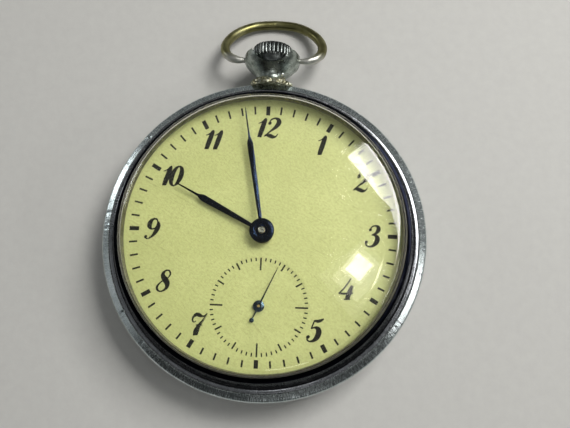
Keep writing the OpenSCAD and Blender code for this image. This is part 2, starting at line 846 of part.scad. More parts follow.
module click_screw() {
    color([0.15, 0.20, 0.42])
        at(click_p) rotate([0, 0, 20]) slotted_screw(0.75, 2.15, 2.57, 0.38, 3.45, 0.22);
}

module click_spring() {
    color([0.35, 0.38, 0.45])
        at(click_p)
            union() {
                slab(2.7, 2.95) translate([0.6, 0.9]) square([0.14, 2.2]);
                slab(2.7, 3.1) translate([0.52, 3.4]) circle(r = 0.5);
            }
}

// ---- Going train ----

module centre_wheel() {
    color([0.82, 0.70, 0.38])
        union() {
            wheel_plate(centre_teeth, centre_module, centre_phase, 5.65, 5.9, 5, 1.5, 0.35, 0.5);
            slab(3.6, 5.0) gear_outline(centre_leaves, barrel_module, centre_leaf_phase);
            disc(0.9, 5.0, 5.65);
            disc(0.25, 2.65, 3.6);
            disc(0.6, 3.55, 3.6);
            disc(0.6, 5.9, 6.5);
            disc(0.45, 6.5, 9.72);
        }
}

module third_wheel() {
    color([0.82, 0.70, 0.38])
        at(third_p)
            union() {
                wheel_plate(third_teeth, third_module, third_phase, 4.9, 5.08, 5, 0.9, 0.3, 0.4);
                slab(5.08, 5.95) gear_outline(third_leaves, centre_module, third_leaf_phase);
                disc(0.28, 3.4, 4.9);
                disc(0.15, 2.7, 3.4);
                disc(0.15, 5.95, 6.4);
            }
}

module fourth_wheel() {
    color([0.82, 0.70, 0.38])
        at(fourth_p)
            union() {
                wheel_plate(fourth_teeth, fourth_module, fourth_phase, 4.1, 4.36, 5, 0.9, 0.4, 0.45);
                slab(4.7, 5.3) gear_outline(fourth_leaves, third_module, fourth_leaf_phase);
                disc(0.28, 3.4, 4.1);
                disc(0.28, 4.36, 4.7);
                disc(0.15, 2.7, 3.4);
                disc(0.18, 5.3, 8.5);
            }
}

module escape_wheel() {
    step = 360 / escape_teeth;
    rim = 2.3;
    color([0.70, 0.71, 0.73])
        at(escape_p)
            union() {
                slab(4.58, 4.72)
                    difference() {
                        polygon([
                            for (i = [0:escape_teeth - 1])
                                for (s = [[rim, -0.22], [escape_r, 0.16], [escape_r - 0.08, 0.26], [rim, 0.2]])
                                    polar(s[0], step * (i + s[1]))
                        ]);
                        difference() {
                            circle(r = rim - 0.3);
                            circle(r = 0.65);
                            for (a = [0, 90]) rotate(a) square([5, 0.3], center = true);
                        }
                    }
                slab(4.0, 4.58) gear_outline(escape_leaves, fourth_module, escape_leaf_phase);
                disc(0.24, 4.72, 5.6);
                disc(0.12, 5.6, 6.4);
                disc(0.15, 2.7, 4.0);
            }
}

module pallet_fork() {
    stone = [0.34, 0.75];
    reach = pallet_distance * sin(30) + 0.1;
    color([0.70, 0.71, 0.73])
        at(pallet_p) rotate([0, 0, line_angle])
            union() {
                slab(4.55, 4.75)
                    difference() {
                        union() {
                            polygon([
                                [-0.45, -reach - 0.35], [0.1, -reach - 0.35], [0.5, -0.55],
                                [0.5, 0.55], [0.1, reach + 0.35], [-0.45, reach + 0.35], [-0.25, 0]
                            ]);
                            translate([0.3, -0.17]) square([fork_len - 1.0, 0.34]);
                            translate([fork_len - 1.1, -0.5]) square([0.45, 1.0]);
                        }
                        translate([fork_len - 0.9, -0.16]) square([1, 0.32]);
                    }
                for (s = [-1, 1])
                    translate([-0.42, s * (reach + 0.05), 4.76]) rotate([0, 0, -s * 12])
                        translate([-stone[1] / 2, -stone[0] / 2, 0]) cube([stone[1], stone[0], 0.12]);
                disc(0.2, 4.4, 5.7);
                disc(0.12, 4.1, 4.4);
                disc(0.12, 5.7, 6.4);
            }
}

// ---- Balance ----

module balance_wheel() {
    r = balance_d / 2;
    color([0.84, 0.72, 0.40])
        at(balance_p)
            difference() {
                union() {
                    tube(r, r - 0.55, 3.45, 4.0);
                    rotate([0, 0, line_angle + 30]) translate([-r + 0.3, -0.4, 3.55])
                        cube([2 * r - 0.6, 0.8, 0.3]);
                    disc(1.1, 3.55, 3.85);
                }
                disc(0.4, 3, 5);
            }
}

module balance_screws() {
    r = balance_d / 2;
    color([0.84, 0.72, 0.40])
        at(balance_p)
            for (i = [0:13])
                rotate([0, 0, line_angle + 30 + i * 360 / 14])
                    translate([r + 0.02, 0, 3.72]) rotate([0, 90, 0]) cylinder(r = 0.24, h = 0.5);
}

module balance_staff() {
    color("silver")
        at(balance_p)
            union() {
                disc(0.39, 3.3, 4.9);
                disc(0.55, 3.86, 4.3);
                disc(0.2, 2.95, 3.3);
                disc(0.09, 2.5, 2.95);
                disc(0.2, 4.9, 5.9);
                disc(0.09, 5.9, 6.45);
            }
}

module roller() {
    color([0.72, 0.72, 0.74])
        at(balance_p) rotate([0, 0, line_angle + 180])
            difference() {
                union() {
                    disc(0.95, 4.32, 4.46);
                    translate([0.68, 0, 0]) disc(0.12, 4.46, 4.53);
                }
                disc(0.4, 4, 5);
            }
}

module hairspring() {
    color([0.25, 0.30, 0.45])
        at(balance_p) rotate([0, 0, cock_angle - 5.6]) slab(3.18, 3.3) spiral(0.75, 3.3, 9, 0.06, 216);
}

module hairspring_stud() {
    color("silver")
        at(balance_p) rotate([0, 0, cock_angle])
            union() {
                translate([stud_r, 0, 0]) disc(0.28, 2.0, 3.34);
                slab(2.02, 2.3) translate([1.55, -0.3]) square([2.1, 0.6]);
            }
}

module regulator() {
    color("silver")
        at(balance_p)
            difference() {
                union() {
                    slab(2.12, 2.36)
                        union() {
                            circle(r = 1.45);
                            rotate([0, 0, cock_angle + 80])
                                polygon([[1.1, -0.4], [5.0, -0.12], [5.0, 0.12], [1.1, 0.4]]);
                            rotate([0, 0, cock_angle - 75]) translate([1.2, -0.3]) square([2.6, 0.6]);
                        }
                    rotate([0, 0, cock_angle - 75]) translate([stud_r + 0.1, 0, 0])
                        disc(0.1, 2.3, 3.34);
                }
                disc(0.75, 1, 3);
            }
}

// ---- Motion work under the dial ----

module cannon_pinion() {
    color("silver")
        difference() {
            union() {
                slab(6.72, 7.2) gear_outline(cannon_teeth, motion_module, cannon_phase);
                disc(0.8, 7.2, 9.6);
            }
            disc(0.46, 6, 10);
        }
}

module minute_wheel() {
    color([0.82, 0.70, 0.38])
        at(minute_p)
            union() {
                slab(6.72, 6.92) gear_outline(minute_teeth, motion_module, minute_phase);
                slab(6.92, 7.45) gear_outline(minute_leaves, hour_module, 0);
                disc(0.28, 6.1, 6.72);
            }
}

module hour_wheel() {
    color([0.82, 0.70, 0.38])
        difference() {
            union() {
                slab(7.25, 7.42) gear_outline(hour_teeth, hour_module, hour_phase);
                disc(1.24, 7.42, 8.95);
            }
            disc(0.87, 7, 10);
        }
}

module dial_washer() {
    color([0.85, 0.75, 0.40]) tube(2.6, 1.3, 7.46, 7.56);
}

// ---- Keyless works ----

module winding_pinion() {
    color("silver")
        difference() {
            union() {
                translate([0, pinion_low_y, stem_z]) rotate([-90, 0, 0]) linear_extrude(pinion_len)
                    gear_outline(wind_teeth, wind_module, -90);
                along_y(1.4, clutch_top_y + gap, pinion_low_y);
            }
            along_y(0.5, clutch_top_y - over, groove_y);
        }
}

module sliding_pinion() {
    groove_half = 0.35;
    color("silver")
        difference() {
            union() {
                along_y(1.4, clutch_low_y, clutch_groove_y - groove_half);
                along_y(0.9, clutch_groove_y - groove_half, clutch_groove_y + groove_half);
                along_y(1.5, clutch_groove_y + groove_half, clutch_top_y);
            }
            translate([-0.45, clutch_low_y - over, stem_z - 0.45]) cube([0.9, 4.5, 0.9]);
            for (i = [0:3])
                translate([0, clutch_low_y, stem_z]) rotate([0, i * 45, 0])
                    cube([4, 0.4, 0.35], center = true);
        }
}

module setting_lever() {
    color("silver")
        difference() {
            union() {
                slab(6.75, 7.05)
                    union() {
                        translate(setting_pivot_p) circle(r = 0.95);
                        translate(setting_pin_p) circle(r = 0.45);
                        translate(setting_pin_p) rotate([0, 0, setting_turn / 2])
                            translate([0, -0.4]) square([setting_arm, 0.8]);
                    }
                at(setting_pin_p) disc(0.27, stem_z, 6.8);
            }
            at(setting_pivot_p) disc(lever_bore_r, 6, 8);
        }
}

module setting_lever_screw() {
    color("silver") at(setting_pivot_p)
        union() {
            disc(0.38, 5.3, 7.08);
            disc(0.75, 7.08, 7.3);
        }
}

module yoke() {
    color("silver")
        difference() {
            union() {
                slab(6.75, 7.05)
                    union() {
                        translate(yoke_pivot_p) circle(r = 0.9);
                        translate(yoke_pin_p) circle(r = 0.35);
                        translate(yoke_pin_p) rotate([0, 0, angle_of(yoke_pivot_p - yoke_pin_p)])
                            translate([0, -0.32]) square([yoke_arm, 0.64]);
                    }
                at(yoke_pin_p) disc(0.25, stem_z + 0.2, 6.8);
            }
            at(yoke_pivot_p) disc(0.37, 6, 8);
        }
}

module yoke_spring() {
    color([0.35, 0.38, 0.45])
        union() {
            translate([-4.9, 13.0, 6.75]) cube([1.6, 0.16, 0.25]);
            at(spring_post_p) disc(0.35, 6.2, 7.2);
            translate([-5.2, 13.0, 6.75]) cube([0.5, 0.5, 0.25]);
        }
}

module setting_wheel() {
    color([0.82, 0.70, 0.38])
        at(setting_p)
            union() {
                slab(6.72, 6.92) gear_outline(setting_teeth, motion_module, setting_phase);
                disc(0.28, 5.7, 6.72);
                disc(0.35, 6.92, 7.2);
            }
}

module setting_lever_spring() {
    color([0.35, 0.38, 0.45])
        difference() {
            slab(7.12, 7.32)
                polygon([[-4.9, 9.6], [-1.6, 9.6], [-1.6, 14.4], [1.6, 14.4], [1.6, 9.6], [4.9, 9.6],
                    [4.9, 14.7], [2.4, 15.0], [-4.9, 14.9]]);
            at(setting_pivot_p) disc(1.0, 6, 8);
            at(yoke_pivot_p) disc(0.4, 6, 8);
        }
}

case_band();
pendant();
bezel();
crystal();
case_back();
bow();
crown();
winding_stem();
dial();
dial_foot_screws();
hour_hand();
minute_hand();
seconds_hand();
mainplate();
barrel_bridge();
train_bridge();
balance_cock();
pallet_cock();
bridge_screws();
case_screws();
plate_jewels();
bridge_jewels();
barrel();
barrel_cover();
barrel_arbor();
mainspring();
ratchet_wheel();
ratchet_wheel_screw();
crown_wheel();
crown_wheel_screw();
click();
click_screw();
click_spring();
centre_wheel();
third_wheel();
fourth_wheel();
escape_wheel();
pallet_fork();
balance_wheel();
balance_screws();
balance_staff();
roller();
hairspring();
hairspring_stud();
regulator();
cannon_pinion();
minute_wheel();
hour_wheel();
dial_washer();
winding_pinion();
sliding_pinion();
setting_lever();
setting_lever_screw();
yoke();
yoke_spring();
setting_wheel();
setting_lever_spring();
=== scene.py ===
import math

import bpy
from mathutils import Matrix, Vector, noise


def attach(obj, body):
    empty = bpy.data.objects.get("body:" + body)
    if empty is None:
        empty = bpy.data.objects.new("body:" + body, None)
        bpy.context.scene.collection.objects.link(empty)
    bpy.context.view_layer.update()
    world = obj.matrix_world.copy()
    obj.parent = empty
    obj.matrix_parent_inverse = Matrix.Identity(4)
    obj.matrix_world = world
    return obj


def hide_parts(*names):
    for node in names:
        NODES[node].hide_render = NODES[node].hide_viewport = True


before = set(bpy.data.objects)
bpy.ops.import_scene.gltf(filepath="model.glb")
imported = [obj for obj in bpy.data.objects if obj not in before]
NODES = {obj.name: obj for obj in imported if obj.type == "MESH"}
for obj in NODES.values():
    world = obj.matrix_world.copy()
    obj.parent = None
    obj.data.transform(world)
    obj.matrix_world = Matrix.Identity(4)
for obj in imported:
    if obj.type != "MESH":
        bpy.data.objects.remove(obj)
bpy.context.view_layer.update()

MM = 0.001

# Sizes shared with the CAD model, in millimetres
CASE_R = 22.35
DIAL_Z = 8.0
SECONDS_Y = -9.94
PIVOT_Y = 26.7
STEM_Z = 4.9
BOW_REACH = 9.75
WIRE_R = 0.7
BOW_REST = math.asin((STEM_Z - WIRE_R - 0.02) / (BOW_REACH - WIRE_R))
MINUTE_TURN = math.radians(-349.8)
HOUR_TURN = math.radians(-297.9)
SECOND_TURN = math.radians(-24.0)
TRACK_R = 18.0


# ---- Mesh building ----

def new_object(name, data):
    """A new object in the scene that holds a mesh, a light or a camera."""
    obj = bpy.data.objects.new(name, data)
    bpy.context.scene.collection.objects.link(obj)
    return obj


def make_object(name, verts, faces, materials, face_material=None, smooth=True, sharp=35.0):
    """A mesh object from points in millimetres."""
    mesh = bpy.data.meshes.new(name)
    mesh.from_pydata([tuple(c * MM for c in v) for v in verts], [], faces)
    for m in materials:
        mesh.materials.append(m)
    if face_material:
        for poly, index in zip(mesh.polygons, face_material):
            poly.material_index = index
    mesh.validate()
    mesh.update()
    if smooth:
        mesh.polygons.foreach_set("use_smooth", [True] * len(mesh.polygons))
        mesh.set_sharp_from_angle(angle=math.radians(sharp))
    return new_object(name, mesh)


def join_rings(faces, low, high, n):
    """Adds the quads between two rings of n points, from the indices of their first points."""
    for i in range(n):
        j = (i + 1) % n
        faces.append([low + i, low + j, high + j, high + i])


def arc(cx, cy, r, start, end, n):
    """Points on an arc, from the start angle to the end angle in degrees."""
    turns = [math.radians(start + (end - start) * i / n) for i in range(n + 1)]
    return [(cx + r * math.cos(a), cy + r * math.sin(a)) for a in turns]


def lathe(name, profile, materials, bands=None, segments=360, shape=None, centre=(0, 0), sharp=35.0):
    """Turns a closed (radius, height) profile round a vertical axis. bands gives each side's material."""
    verts, faces, index, rows = [], [], [], []
    for k, (r, z) in enumerate(profile):
        if r < 1e-6:
            rows.append([len(verts)] * segments)
            verts.append((centre[0], centre[1], z))
            continue
        rows.append(list(range(len(verts), len(verts) + segments)))
        for i in range(segments):
            a = 2 * math.pi * i / segments
            rr, zz = shape(r, z, a) if shape else (r, z)
            verts.append((centre[0] + rr * math.cos(a), centre[1] + rr * math.sin(a), zz))
    count = len(profile)
    for k in range(count):
        low, high = rows[k], rows[(k + 1) % count]
        if low[0] == low[-1] and high[0] == high[-1]:
            continue
        for i in range(segments):
            j = (i + 1) % segments
            face = [low[i], low[j], high[j], high[i]]
            face = [v for n, v in enumerate(face) if v != face[n - 1]]
            faces.append(face)
            index.append(bands[k] if bands else 0)
    return make_object(name, verts, faces, materials, index, sharp=sharp)


def spline(points, steps):
    """Catmull-Rom through points of any size, with a number of steps in each span."""
    out = []
    last = len(points) - 1
    for i in range(last):
        p0, p1 = points[max(i - 1, 0)], points[i]
        p2, p3 = points[i + 1], points[min(i + 2, last)]
        for s in range(steps):
            t = s / steps
            out.append(tuple(
                0.5 * (2 * b + (c - a) * t + (2 * a - 5 * b + 4 * c - d) * t * t
                       + (3 * b - a - 3 * c + d) * t ** 3)
                for a, b, c, d in zip(p0, p1, p2, p3)))
    out.append(tuple(points[-1]))
    return out


def prism_strip(verts, faces, left, right, low, high):
    """Adds a closed flat strip between two edges, from z = low to z = high."""
    base = len(verts)
    n = len(left)
    for z in (low, high):
        verts.extend((x, y, z) for x, y in left)
        verts.extend((x, y, z) for x, y in right)
    def at(level, side, i):
        return base + level * 2 * n + side * n + i
    for i in range(n - 1):
        faces.append([at(1, 0, i), at(1, 1, i), at(1, 1, i + 1), at(1, 0, i + 1)])
        faces.append([at(0, 0, i), at(0, 0, i + 1), at(0, 1, i + 1), at(0, 1, i)])
        faces.append([at(0, 0, i), at(1, 0, i), at(1, 0, i + 1), at(0, 0, i + 1)])
        faces.append([at(0, 1, i), at(0, 1, i + 1), at(1, 1, i + 1), at(1, 1, i)])
    faces.append([at(0, 0, 0), at(0, 1, 0), at(1, 1, 0), at(1, 0, 0)])
    e = n - 1
    faces.append([at(0, 0, e), at(1, 0, e), at(1, 1, e), at(0, 1, e)])


def pen_stroke(verts, faces, points, place, low, high):
    """A stroke with a changing width: points are (x, y, width), and place maps x, y on to the dial."""
    line = spline(points, 6)
    left, right = [], []
    for i, (x, y, w) in enumerate(line):
        a, b = line[max(i - 1, 0)], line[min(i + 1, len(line) - 1)]
        d = Vector((b[0] - a[0], b[1] - a[1])).normalized()
        half = max(w, 0.03) * PEN / 2
        left.append(place(x - d.y * half, y + d.x * half))
        right.append(place(x + d.y * half, y - d.x * half))
    prism_strip(verts, faces, left, right, low, high)


def dot(verts, faces, x, y, r, place, low, high, n=20):
    """A round dot of ink."""
    base = len(verts)
    for z in (low, high):
        for i in range(n):
            a = 2 * math.pi * i / n
            px, py = place(x + r * math.cos(a), y + r * math.sin(a))
            verts.append((px, py, z))
    faces.append([base + n - 1 - i for i in range(n)])
    faces.append([base + n + i for i in range(n)])
    for i in range(n):
        j = (i + 1) % n
        faces.append([base + i, base + j, base + n + j, base + n + i])


def sweep(name, path, radii, materials, sides=24):
    """A round bar along a path in millimetres, with a radius at each point and closed ends."""
    verts, faces = [], []
    pts = [Vector(p) for p in path]
    side = None
    for i, p in enumerate(pts):
        t = (pts[min(i + 1, len(pts) - 1)] - pts[max(i - 1, 0)]).normalized()
        if side is None:
            side = t.orthogonal().normalized()
        side = (side - t * side.dot(t)).normalized()
        other = t.cross(side)
        for k in range(sides):
            a = 2 * math.pi * k / sides
            verts.append(tuple(p + radii[i] * (math.cos(a) * side + math.sin(a) * other)))
    for i in range(len(pts) - 1):
        for k in range(sides):
            j = (k + 1) % sides
            faces.append([i * sides + k, i * sides + j, (i + 1) * sides + j, (i + 1) * sides + k])
    faces.append([sides - 1 - k for k in range(sides)])
    faces.append([(len(pts) - 1) * sides + k for k in range(sides)])
    return make_object(name, verts, faces, materials, sharp=50.0)


# ---- Shader building ----

class Shader:
    """A Principled material with short names for the nodes that feed it."""

    def __init__(self, name, color, metallic=0.0, roughness=0.3, **sockets):
        self.material = bpy.data.materials.new(name)
        self.material.use_nodes = True
        self.tree = self.material.node_tree
        self.bsdf = self.tree.nodes["Principled BSDF"]
        self.output = self.tree.nodes["Material Output"]
        self.bsdf.inputs["Base Color"].default_value = (*color, 1)
        self.bsdf.inputs["Metallic"].default_value = metallic
        self.bsdf.inputs["Roughness"].default_value = roughness
        for key, value in sockets.items():
            self.bsdf.inputs[key.replace("_", " ")].default_value = value
        self.place = self.node("ShaderNodeTexCoord").outputs["Object"]

    def node(self, kind, **settings):
        n = self.tree.nodes.new(kind)
        for key, value in settings.items():
            setattr(n, key, value)
        return n

    def axes(self):
        """The outputs for X, Y and Z of the place on the object."""
        parts = self.node("ShaderNodeSeparateXYZ")
        self.link(self.place, parts.inputs[0])
        return parts.outputs

    def link(self, source, target):
        self.tree.links.new(source, target)

    def stretched(self, scale, turn=(0, 0, 0), source=None):
        """Object coordinates, turned and scaled, to stretch a texture into streaks."""
        turned = self.node("ShaderNodeMapping")
        turned.inputs["Rotation"].default_value = [math.radians(a) for a in turn]
        self.link(source or self.place, turned.inputs["Vector"])
        n = self.node("ShaderNodeMapping")
        n.inputs["Scale"].default_value = scale
        self.link(turned.outputs["Vector"], n.inputs["Vector"])
        return n.outputs["Vector"]

    def around(self, x=0.0, y=0.0, r_scale=1.0, a_scale=1.0):
        """Coordinates of radius and angle about a vertical axis through (x, y), for turned finishes."""
        move = self.node("ShaderNodeVectorMath", operation="SUBTRACT")
        move.inputs[1].default_value = (x * MM, y * MM, 0)
        self.link(self.place, move.inputs[0])
        parts = self.node("ShaderNodeSeparateXYZ")
        self.link(move.outputs[0], parts.inputs[0])
        flat = self.node("ShaderNodeCombineXYZ")
        self.link(parts.outputs["X"], flat.inputs["X"])
        self.link(parts.outputs["Y"], flat.inputs["Y"])
        r = self.node("ShaderNodeVectorMath", operation="LENGTH")
        self.link(flat.outputs[0], r.inputs[0])
        a = self.node("ShaderNodeMath", operation="ARCTAN2")
        self.link(parts.outputs["Y"], a.inputs[0])
        self.link(parts.outputs["X"], a.inputs[1])
        out = self.node("ShaderNodeCombineXYZ")
        self.link(self.maths("MULTIPLY", r.outputs["Value"], r_scale), out.inputs["X"])
        self.link(self.maths("MULTIPLY", a.outputs[0], a_scale), out.inputs["Y"])
        return out.outputs[0]

    def maths(self, operation, a, b=0.0, clamp=False):
        n = self.node("ShaderNodeMath", operation=operation, use_clamp=clamp)
        for socket, value in zip(n.inputs, (a, b)):
            if isinstance(value, (int, float)):
                socket.default_value = value
            else:
                self.link(value, socket)
        return n.outputs[0]

    def noise(self, scale, detail=4.0, roughness=0.55, source=None, distortion=0.0):
        n = self.node("ShaderNodeTexNoise")
        n.inputs["Scale"].default_value = scale
        n.inputs["Detail"].default_value = detail
        n.inputs["Roughness"].default_value = roughness
        n.inputs["Distortion"].default_value = distortion
        self.link(source or self.place, n.inputs["Vector"])
        return n.outputs["Fac"]

    def cells(self, scale, source=None, feature="F1", output="Distance"):
        n = self.node("ShaderNodeTexVoronoi", feature=feature)
        n.inputs["Scale"].default_value = scale
        self.link(source or self.place, n.inputs["Vector"])
        return n.outputs[output]

    def ramp(self, value, low, high, to_low=0.0, to_high=1.0):
        n = self.node("ShaderNodeMapRange")
        for key, v in (("From Min", low), ("From Max", high), ("To Min", to_low), ("To Max", to_high)):
            n.inputs[key].default_value = v
        self.link(value, n.inputs["Value"])
        return n.outputs["Result"]

    def colors(self, value, stops):
        n = self.node("ShaderNodeValToRGB")
        while len(n.color_ramp.elements) < len(stops):
            n.color_ramp.elements.new(0.5)
        for element, (position, color) in zip(n.color_ramp.elements, stops):
            element.position = position
            element.color = (*color, 1)
        self.link(value, n.inputs["Fac"])
        return n.outputs["Color"]

    def mix(self, fac, a, b):
        n = self.node("ShaderNodeMix", data_type="RGBA")
        if isinstance(fac, float):
            n.inputs[0].default_value = fac
        else:
            self.link(fac, n.inputs[0])
        for socket, value in ((n.inputs[6], a), (n.inputs[7], b)):
            if isinstance(value, tuple):
                socket.default_value = (*value, 1)
            else:
                self.link(value, socket)
        return n.outputs[2]

    def scratches(self, density=0.62, fine=9000.0, turns=(17, 74, 128)):
        """Thin hairline scratches in a few directions, 1 on a scratch and 0 elsewhere."""
        total = None
        for i, turn in enumerate(turns):
            v = self.stretched((fine * 0.03, fine, fine * 0.03), (0, 0, turn))
            line = self.noise(1.0, 2.0, 0.5, v)
            patch = self.noise(260.0 + 90 * i, 1.0)
            line = self.ramp(line, density, density + 0.06)
            patch = self.ramp(patch, 0.5, 0.62)
            both = self.maths("MULTIPLY", line, patch, True)
            total = both if total is None else self.maths("MAXIMUM", total, both)
        return total

    def bump(self, height, distance, strength=1.0):
        n = self.node("ShaderNodeBump")
        n.inputs["Strength"].default_value = strength
        n.inputs["Distance"].default_value = distance
        self.link(height, n.inputs["Height"])
        if self.bsdf.inputs["Normal"].is_linked:
            self.link(self.bsdf.inputs["Normal"].links[0].from_socket, n.inputs["Normal"])
        self.link(n.outputs["Normal"], self.bsdf.inputs["Normal"])

    def drive(self, socket, value):
        self.link(value, self.bsdf.inputs[socket])


def chrome_plate(name, color, dull, roughness, scratch, dent):
    """Worn chrome: mottled, hazy in patches, with hairline scratches and small dents."""
    s = Shader(name, color, 1.0, roughness)
    mottle = s.noise(420.0, 6.0, 0.6)
    s.drive("Base Color", s.mix(s.ramp(mottle, 0.38, 0.68), color, dull))
    lines = s.scratches()
    haze = s.ramp(s.noise(900.0, 5.0, 0.65), 0.3, 0.75, roughness * 0.7, roughness * 1.7)
    s.drive("Roughness", s.maths("ADD", haze, s.maths("MULTIPLY", lines, scratch), True))
    s.bump(s.noise(1500.0, 3.0), dent * MM)
    s.bump(lines, -0.004 * MM, 0.7)
    return s.material


def rim_chrome():
    """The polished rim: long scratches run round it, crossed by nicks, over greenish grey plate."""
    s = Shader("rim_chrome", (0.60, 0.63, 0.62), 1.0, 0.17)
    turned = s.noise(1.0, 3.0, 0.6, s.around(0, 0, 14000.0, 9.0))
    cross = s.noise(1.0, 3.0, 0.6, s.around(0, 0, 1200.0, 420.0))
    pits = s.ramp(s.cells(1500.0), 0.0, 0.16, 1.0, 0.0)
    pits = s.maths("MULTIPLY", pits, s.ramp(s.noise(300.0), 0.52, 0.66))
    mottle = s.ramp(s.noise(330.0, 7.0, 0.7), 0.35, 0.7)
    s.drive("Base Color", s.mix(pits, s.mix(mottle, (0.70, 0.76, 0.76), (0.42, 0.48, 0.48)),
                                (0.12, 0.12, 0.10)))
    rough = s.ramp(cross, 0.35, 0.72, 0.10, 0.36)
    s.drive("Roughness", s.maths("ADD", rough, s.maths("MULTIPLY", pits, 0.3), True))
    s.bump(turned, 0.003 * MM, 0.8)
    s.bump(cross, 0.012 * MM, 0.8)
    s.bump(pits, -0.02 * MM, 0.8)
    return s.material


def bezel_wall_painted_dark():
    """The bezel's steep wall: polished plate with faint rings from turning, in a near-black colour that is a
    painted dark reflection.
    """
    s = Shader("bezel_wall_painted_dark", (0.008, 0.009, 0.013), 1.0, 0.10)
    rings = s.noise(1.0, 2.0, 0.5, s.around(0, 0, 9000.0, 2.0))
    wear = s.ramp(s.noise(500.0, 6.0, 0.7), 0.55, 0.75)
    # near-black base colours: painted dark reflection on the polished wall
    s.drive("Base Color", s.mix(wear, (0.0035, 0.004, 0.007), (0.014, 0.015, 0.017)))
    s.drive("Roughness", s.ramp(s.noise(800.0, 4.0), 0.3, 0.8, 0.06, 0.26))
    s.bump(rings, 0.002 * MM, 0.6)
    return s.material


def worn_pendant():
    """The pendant: polished grey-green plate with small pits, and darker towards its foot."""
    s = Shader("worn_pendant", (0.44, 0.47, 0.44), 1.0, 0.2)
    mottle = s.noise(900.0, 6.0, 0.6)
    base = s.colors(mottle, [(0.32, (0.14, 0.16, 0.14)), (0.48, (0.28, 0.315, 0.285)),
                             (0.66, (0.46, 0.505, 0.47))])
    parts = s.axes()
    height = s.maths("ADD", parts["Y"], s.maths("MULTIPLY", s.noise(700.0, 5.0, 0.7), 2.4 * MM))
    # darker towards its foot, where the neck meets the solder
    low = s.ramp(height, (CASE_R + 1.2) * MM, (CASE_R + 1.9) * MM, 0.75, 0.0)
    pits = s.ramp(s.cells(2400.0), 0.0, 0.2, 1.0, 0.0)
    pits = s.maths("MULTIPLY", pits, s.ramp(s.noise(900.0), 0.5, 0.62))
    pits_and_darker_foot = s.maths("MAXIMUM", low, s.maths("MULTIPLY", pits, 0.8), True)
    s.drive("Base Color", s.mix(pits_and_darker_foot, base, (0.085, 0.080, 0.048)))
    rough = s.ramp(s.noise(1600.0, 5.0, 0.7), 0.3, 0.75, 0.22, 0.36)
    s.drive("Roughness", s.maths("ADD", rough, s.maths("MULTIPLY", pits_and_darker_foot, 0.25), True))
    s.bump(mottle, 0.014 * MM, 0.6)
    s.bump(pits, -0.02 * MM, 0.7)
    s.bump(s.noise(5200.0, 3.0), 0.004 * MM, 0.6)
    return s.material


def solder():
    """Rough grey-brown solder round the pendant's foot."""
    s = Shader("rough_solder", (0.30, 0.29, 0.22), 1.0, 0.42)
    lumps = s.noise(2400.0, 6.0, 0.7)
    s.drive("Base Color", s.colors(lumps, [(0.36, (0.05, 0.045, 0.02)), (0.50, (0.30, 0.29, 0.19)),
                                           (0.66, (0.62, 0.62, 0.52))]))
    s.drive("Roughness", s.ramp(lumps, 0.3, 0.7, 0.6, 0.25))
    s.bump(lumps, 0.08 * MM)
    return s.material


def brass_wire():
    """The bow: olive brass where the plate has worn off, silver towards the ends."""
    s = Shader("worn_brass_wire", (0.42, 0.36, 0.16), 1.0, 0.26)
    mottle = s.noise(450.0, 4.0, 0.5)
    brass = s.colors(mottle, [(0.3, (0.150, 0.140, 0.055)), (0.5, (0.205, 0.195, 0.082)),
                              (0.72, (0.30, 0.29, 0.145))])
    parts = s.axes()
    height = s.maths("ADD", parts["Y"], s.maths("MULTIPLY", mottle, 1.6 * MM))
    plated = s.ramp(height, (PIVOT_Y + 1.1) * MM, (PIVOT_Y + 2.3) * MM, 1.0, 0.0)
    s.drive("Base Color", s.mix(plated, brass, (0.55, 0.55, 0.50)))
    lines = s.scratches(0.6, 12000.0)
    s.drive("Roughness", s.maths("ADD", s.ramp(mottle, 0.3, 0.7, 0.30, 0.42),
                                 s.maths("MULTIPLY", lines, 0.2), True))
    s.bump(s.noise(2400.0, 4.0), 0.006 * MM, 0.6)
    return s.material


def crown_chrome():
    """The crown: plated flutes with grime between them."""
    s = Shader("crown_chrome", (0.36, 0.37, 0.36), 1.0, 0.2)
    parts = s.axes()
    x = s.maths("MULTIPLY", parts["X"], parts["X"])
    z = s.maths("SUBTRACT", parts["Z"], STEM_Z * MM)
    r = s.maths("SQRT", s.maths("ADD", x, s.maths("MULTIPLY", z, z)))
    grime = s.ramp(r, 2.66 * MM, 2.9 * MM, 1.0, 0.0)
    fluted = s.ramp(parts["Y"], (PIVOT_Y - 0.2) * MM, (PIVOT_Y + 0.1) * MM)
    grime = s.maths("MULTIPLY", grime, fluted, True)
    worn = s.ramp(s.noise(1500.0, 6.0, 0.7), 0.35, 0.7)
    base = s.mix(worn, (0.20, 0.215, 0.21), (0.07, 0.078, 0.075))
    s.drive("Base Color", s.mix(grime, base, (0.025, 0.024, 0.018)))
    s.drive("Roughness", s.ramp(worn, 0.0, 1.0, 0.16, 0.36))
    s.bump(s.noise(3600.0, 3.0), 0.006 * MM, 0.7)
    return s.material


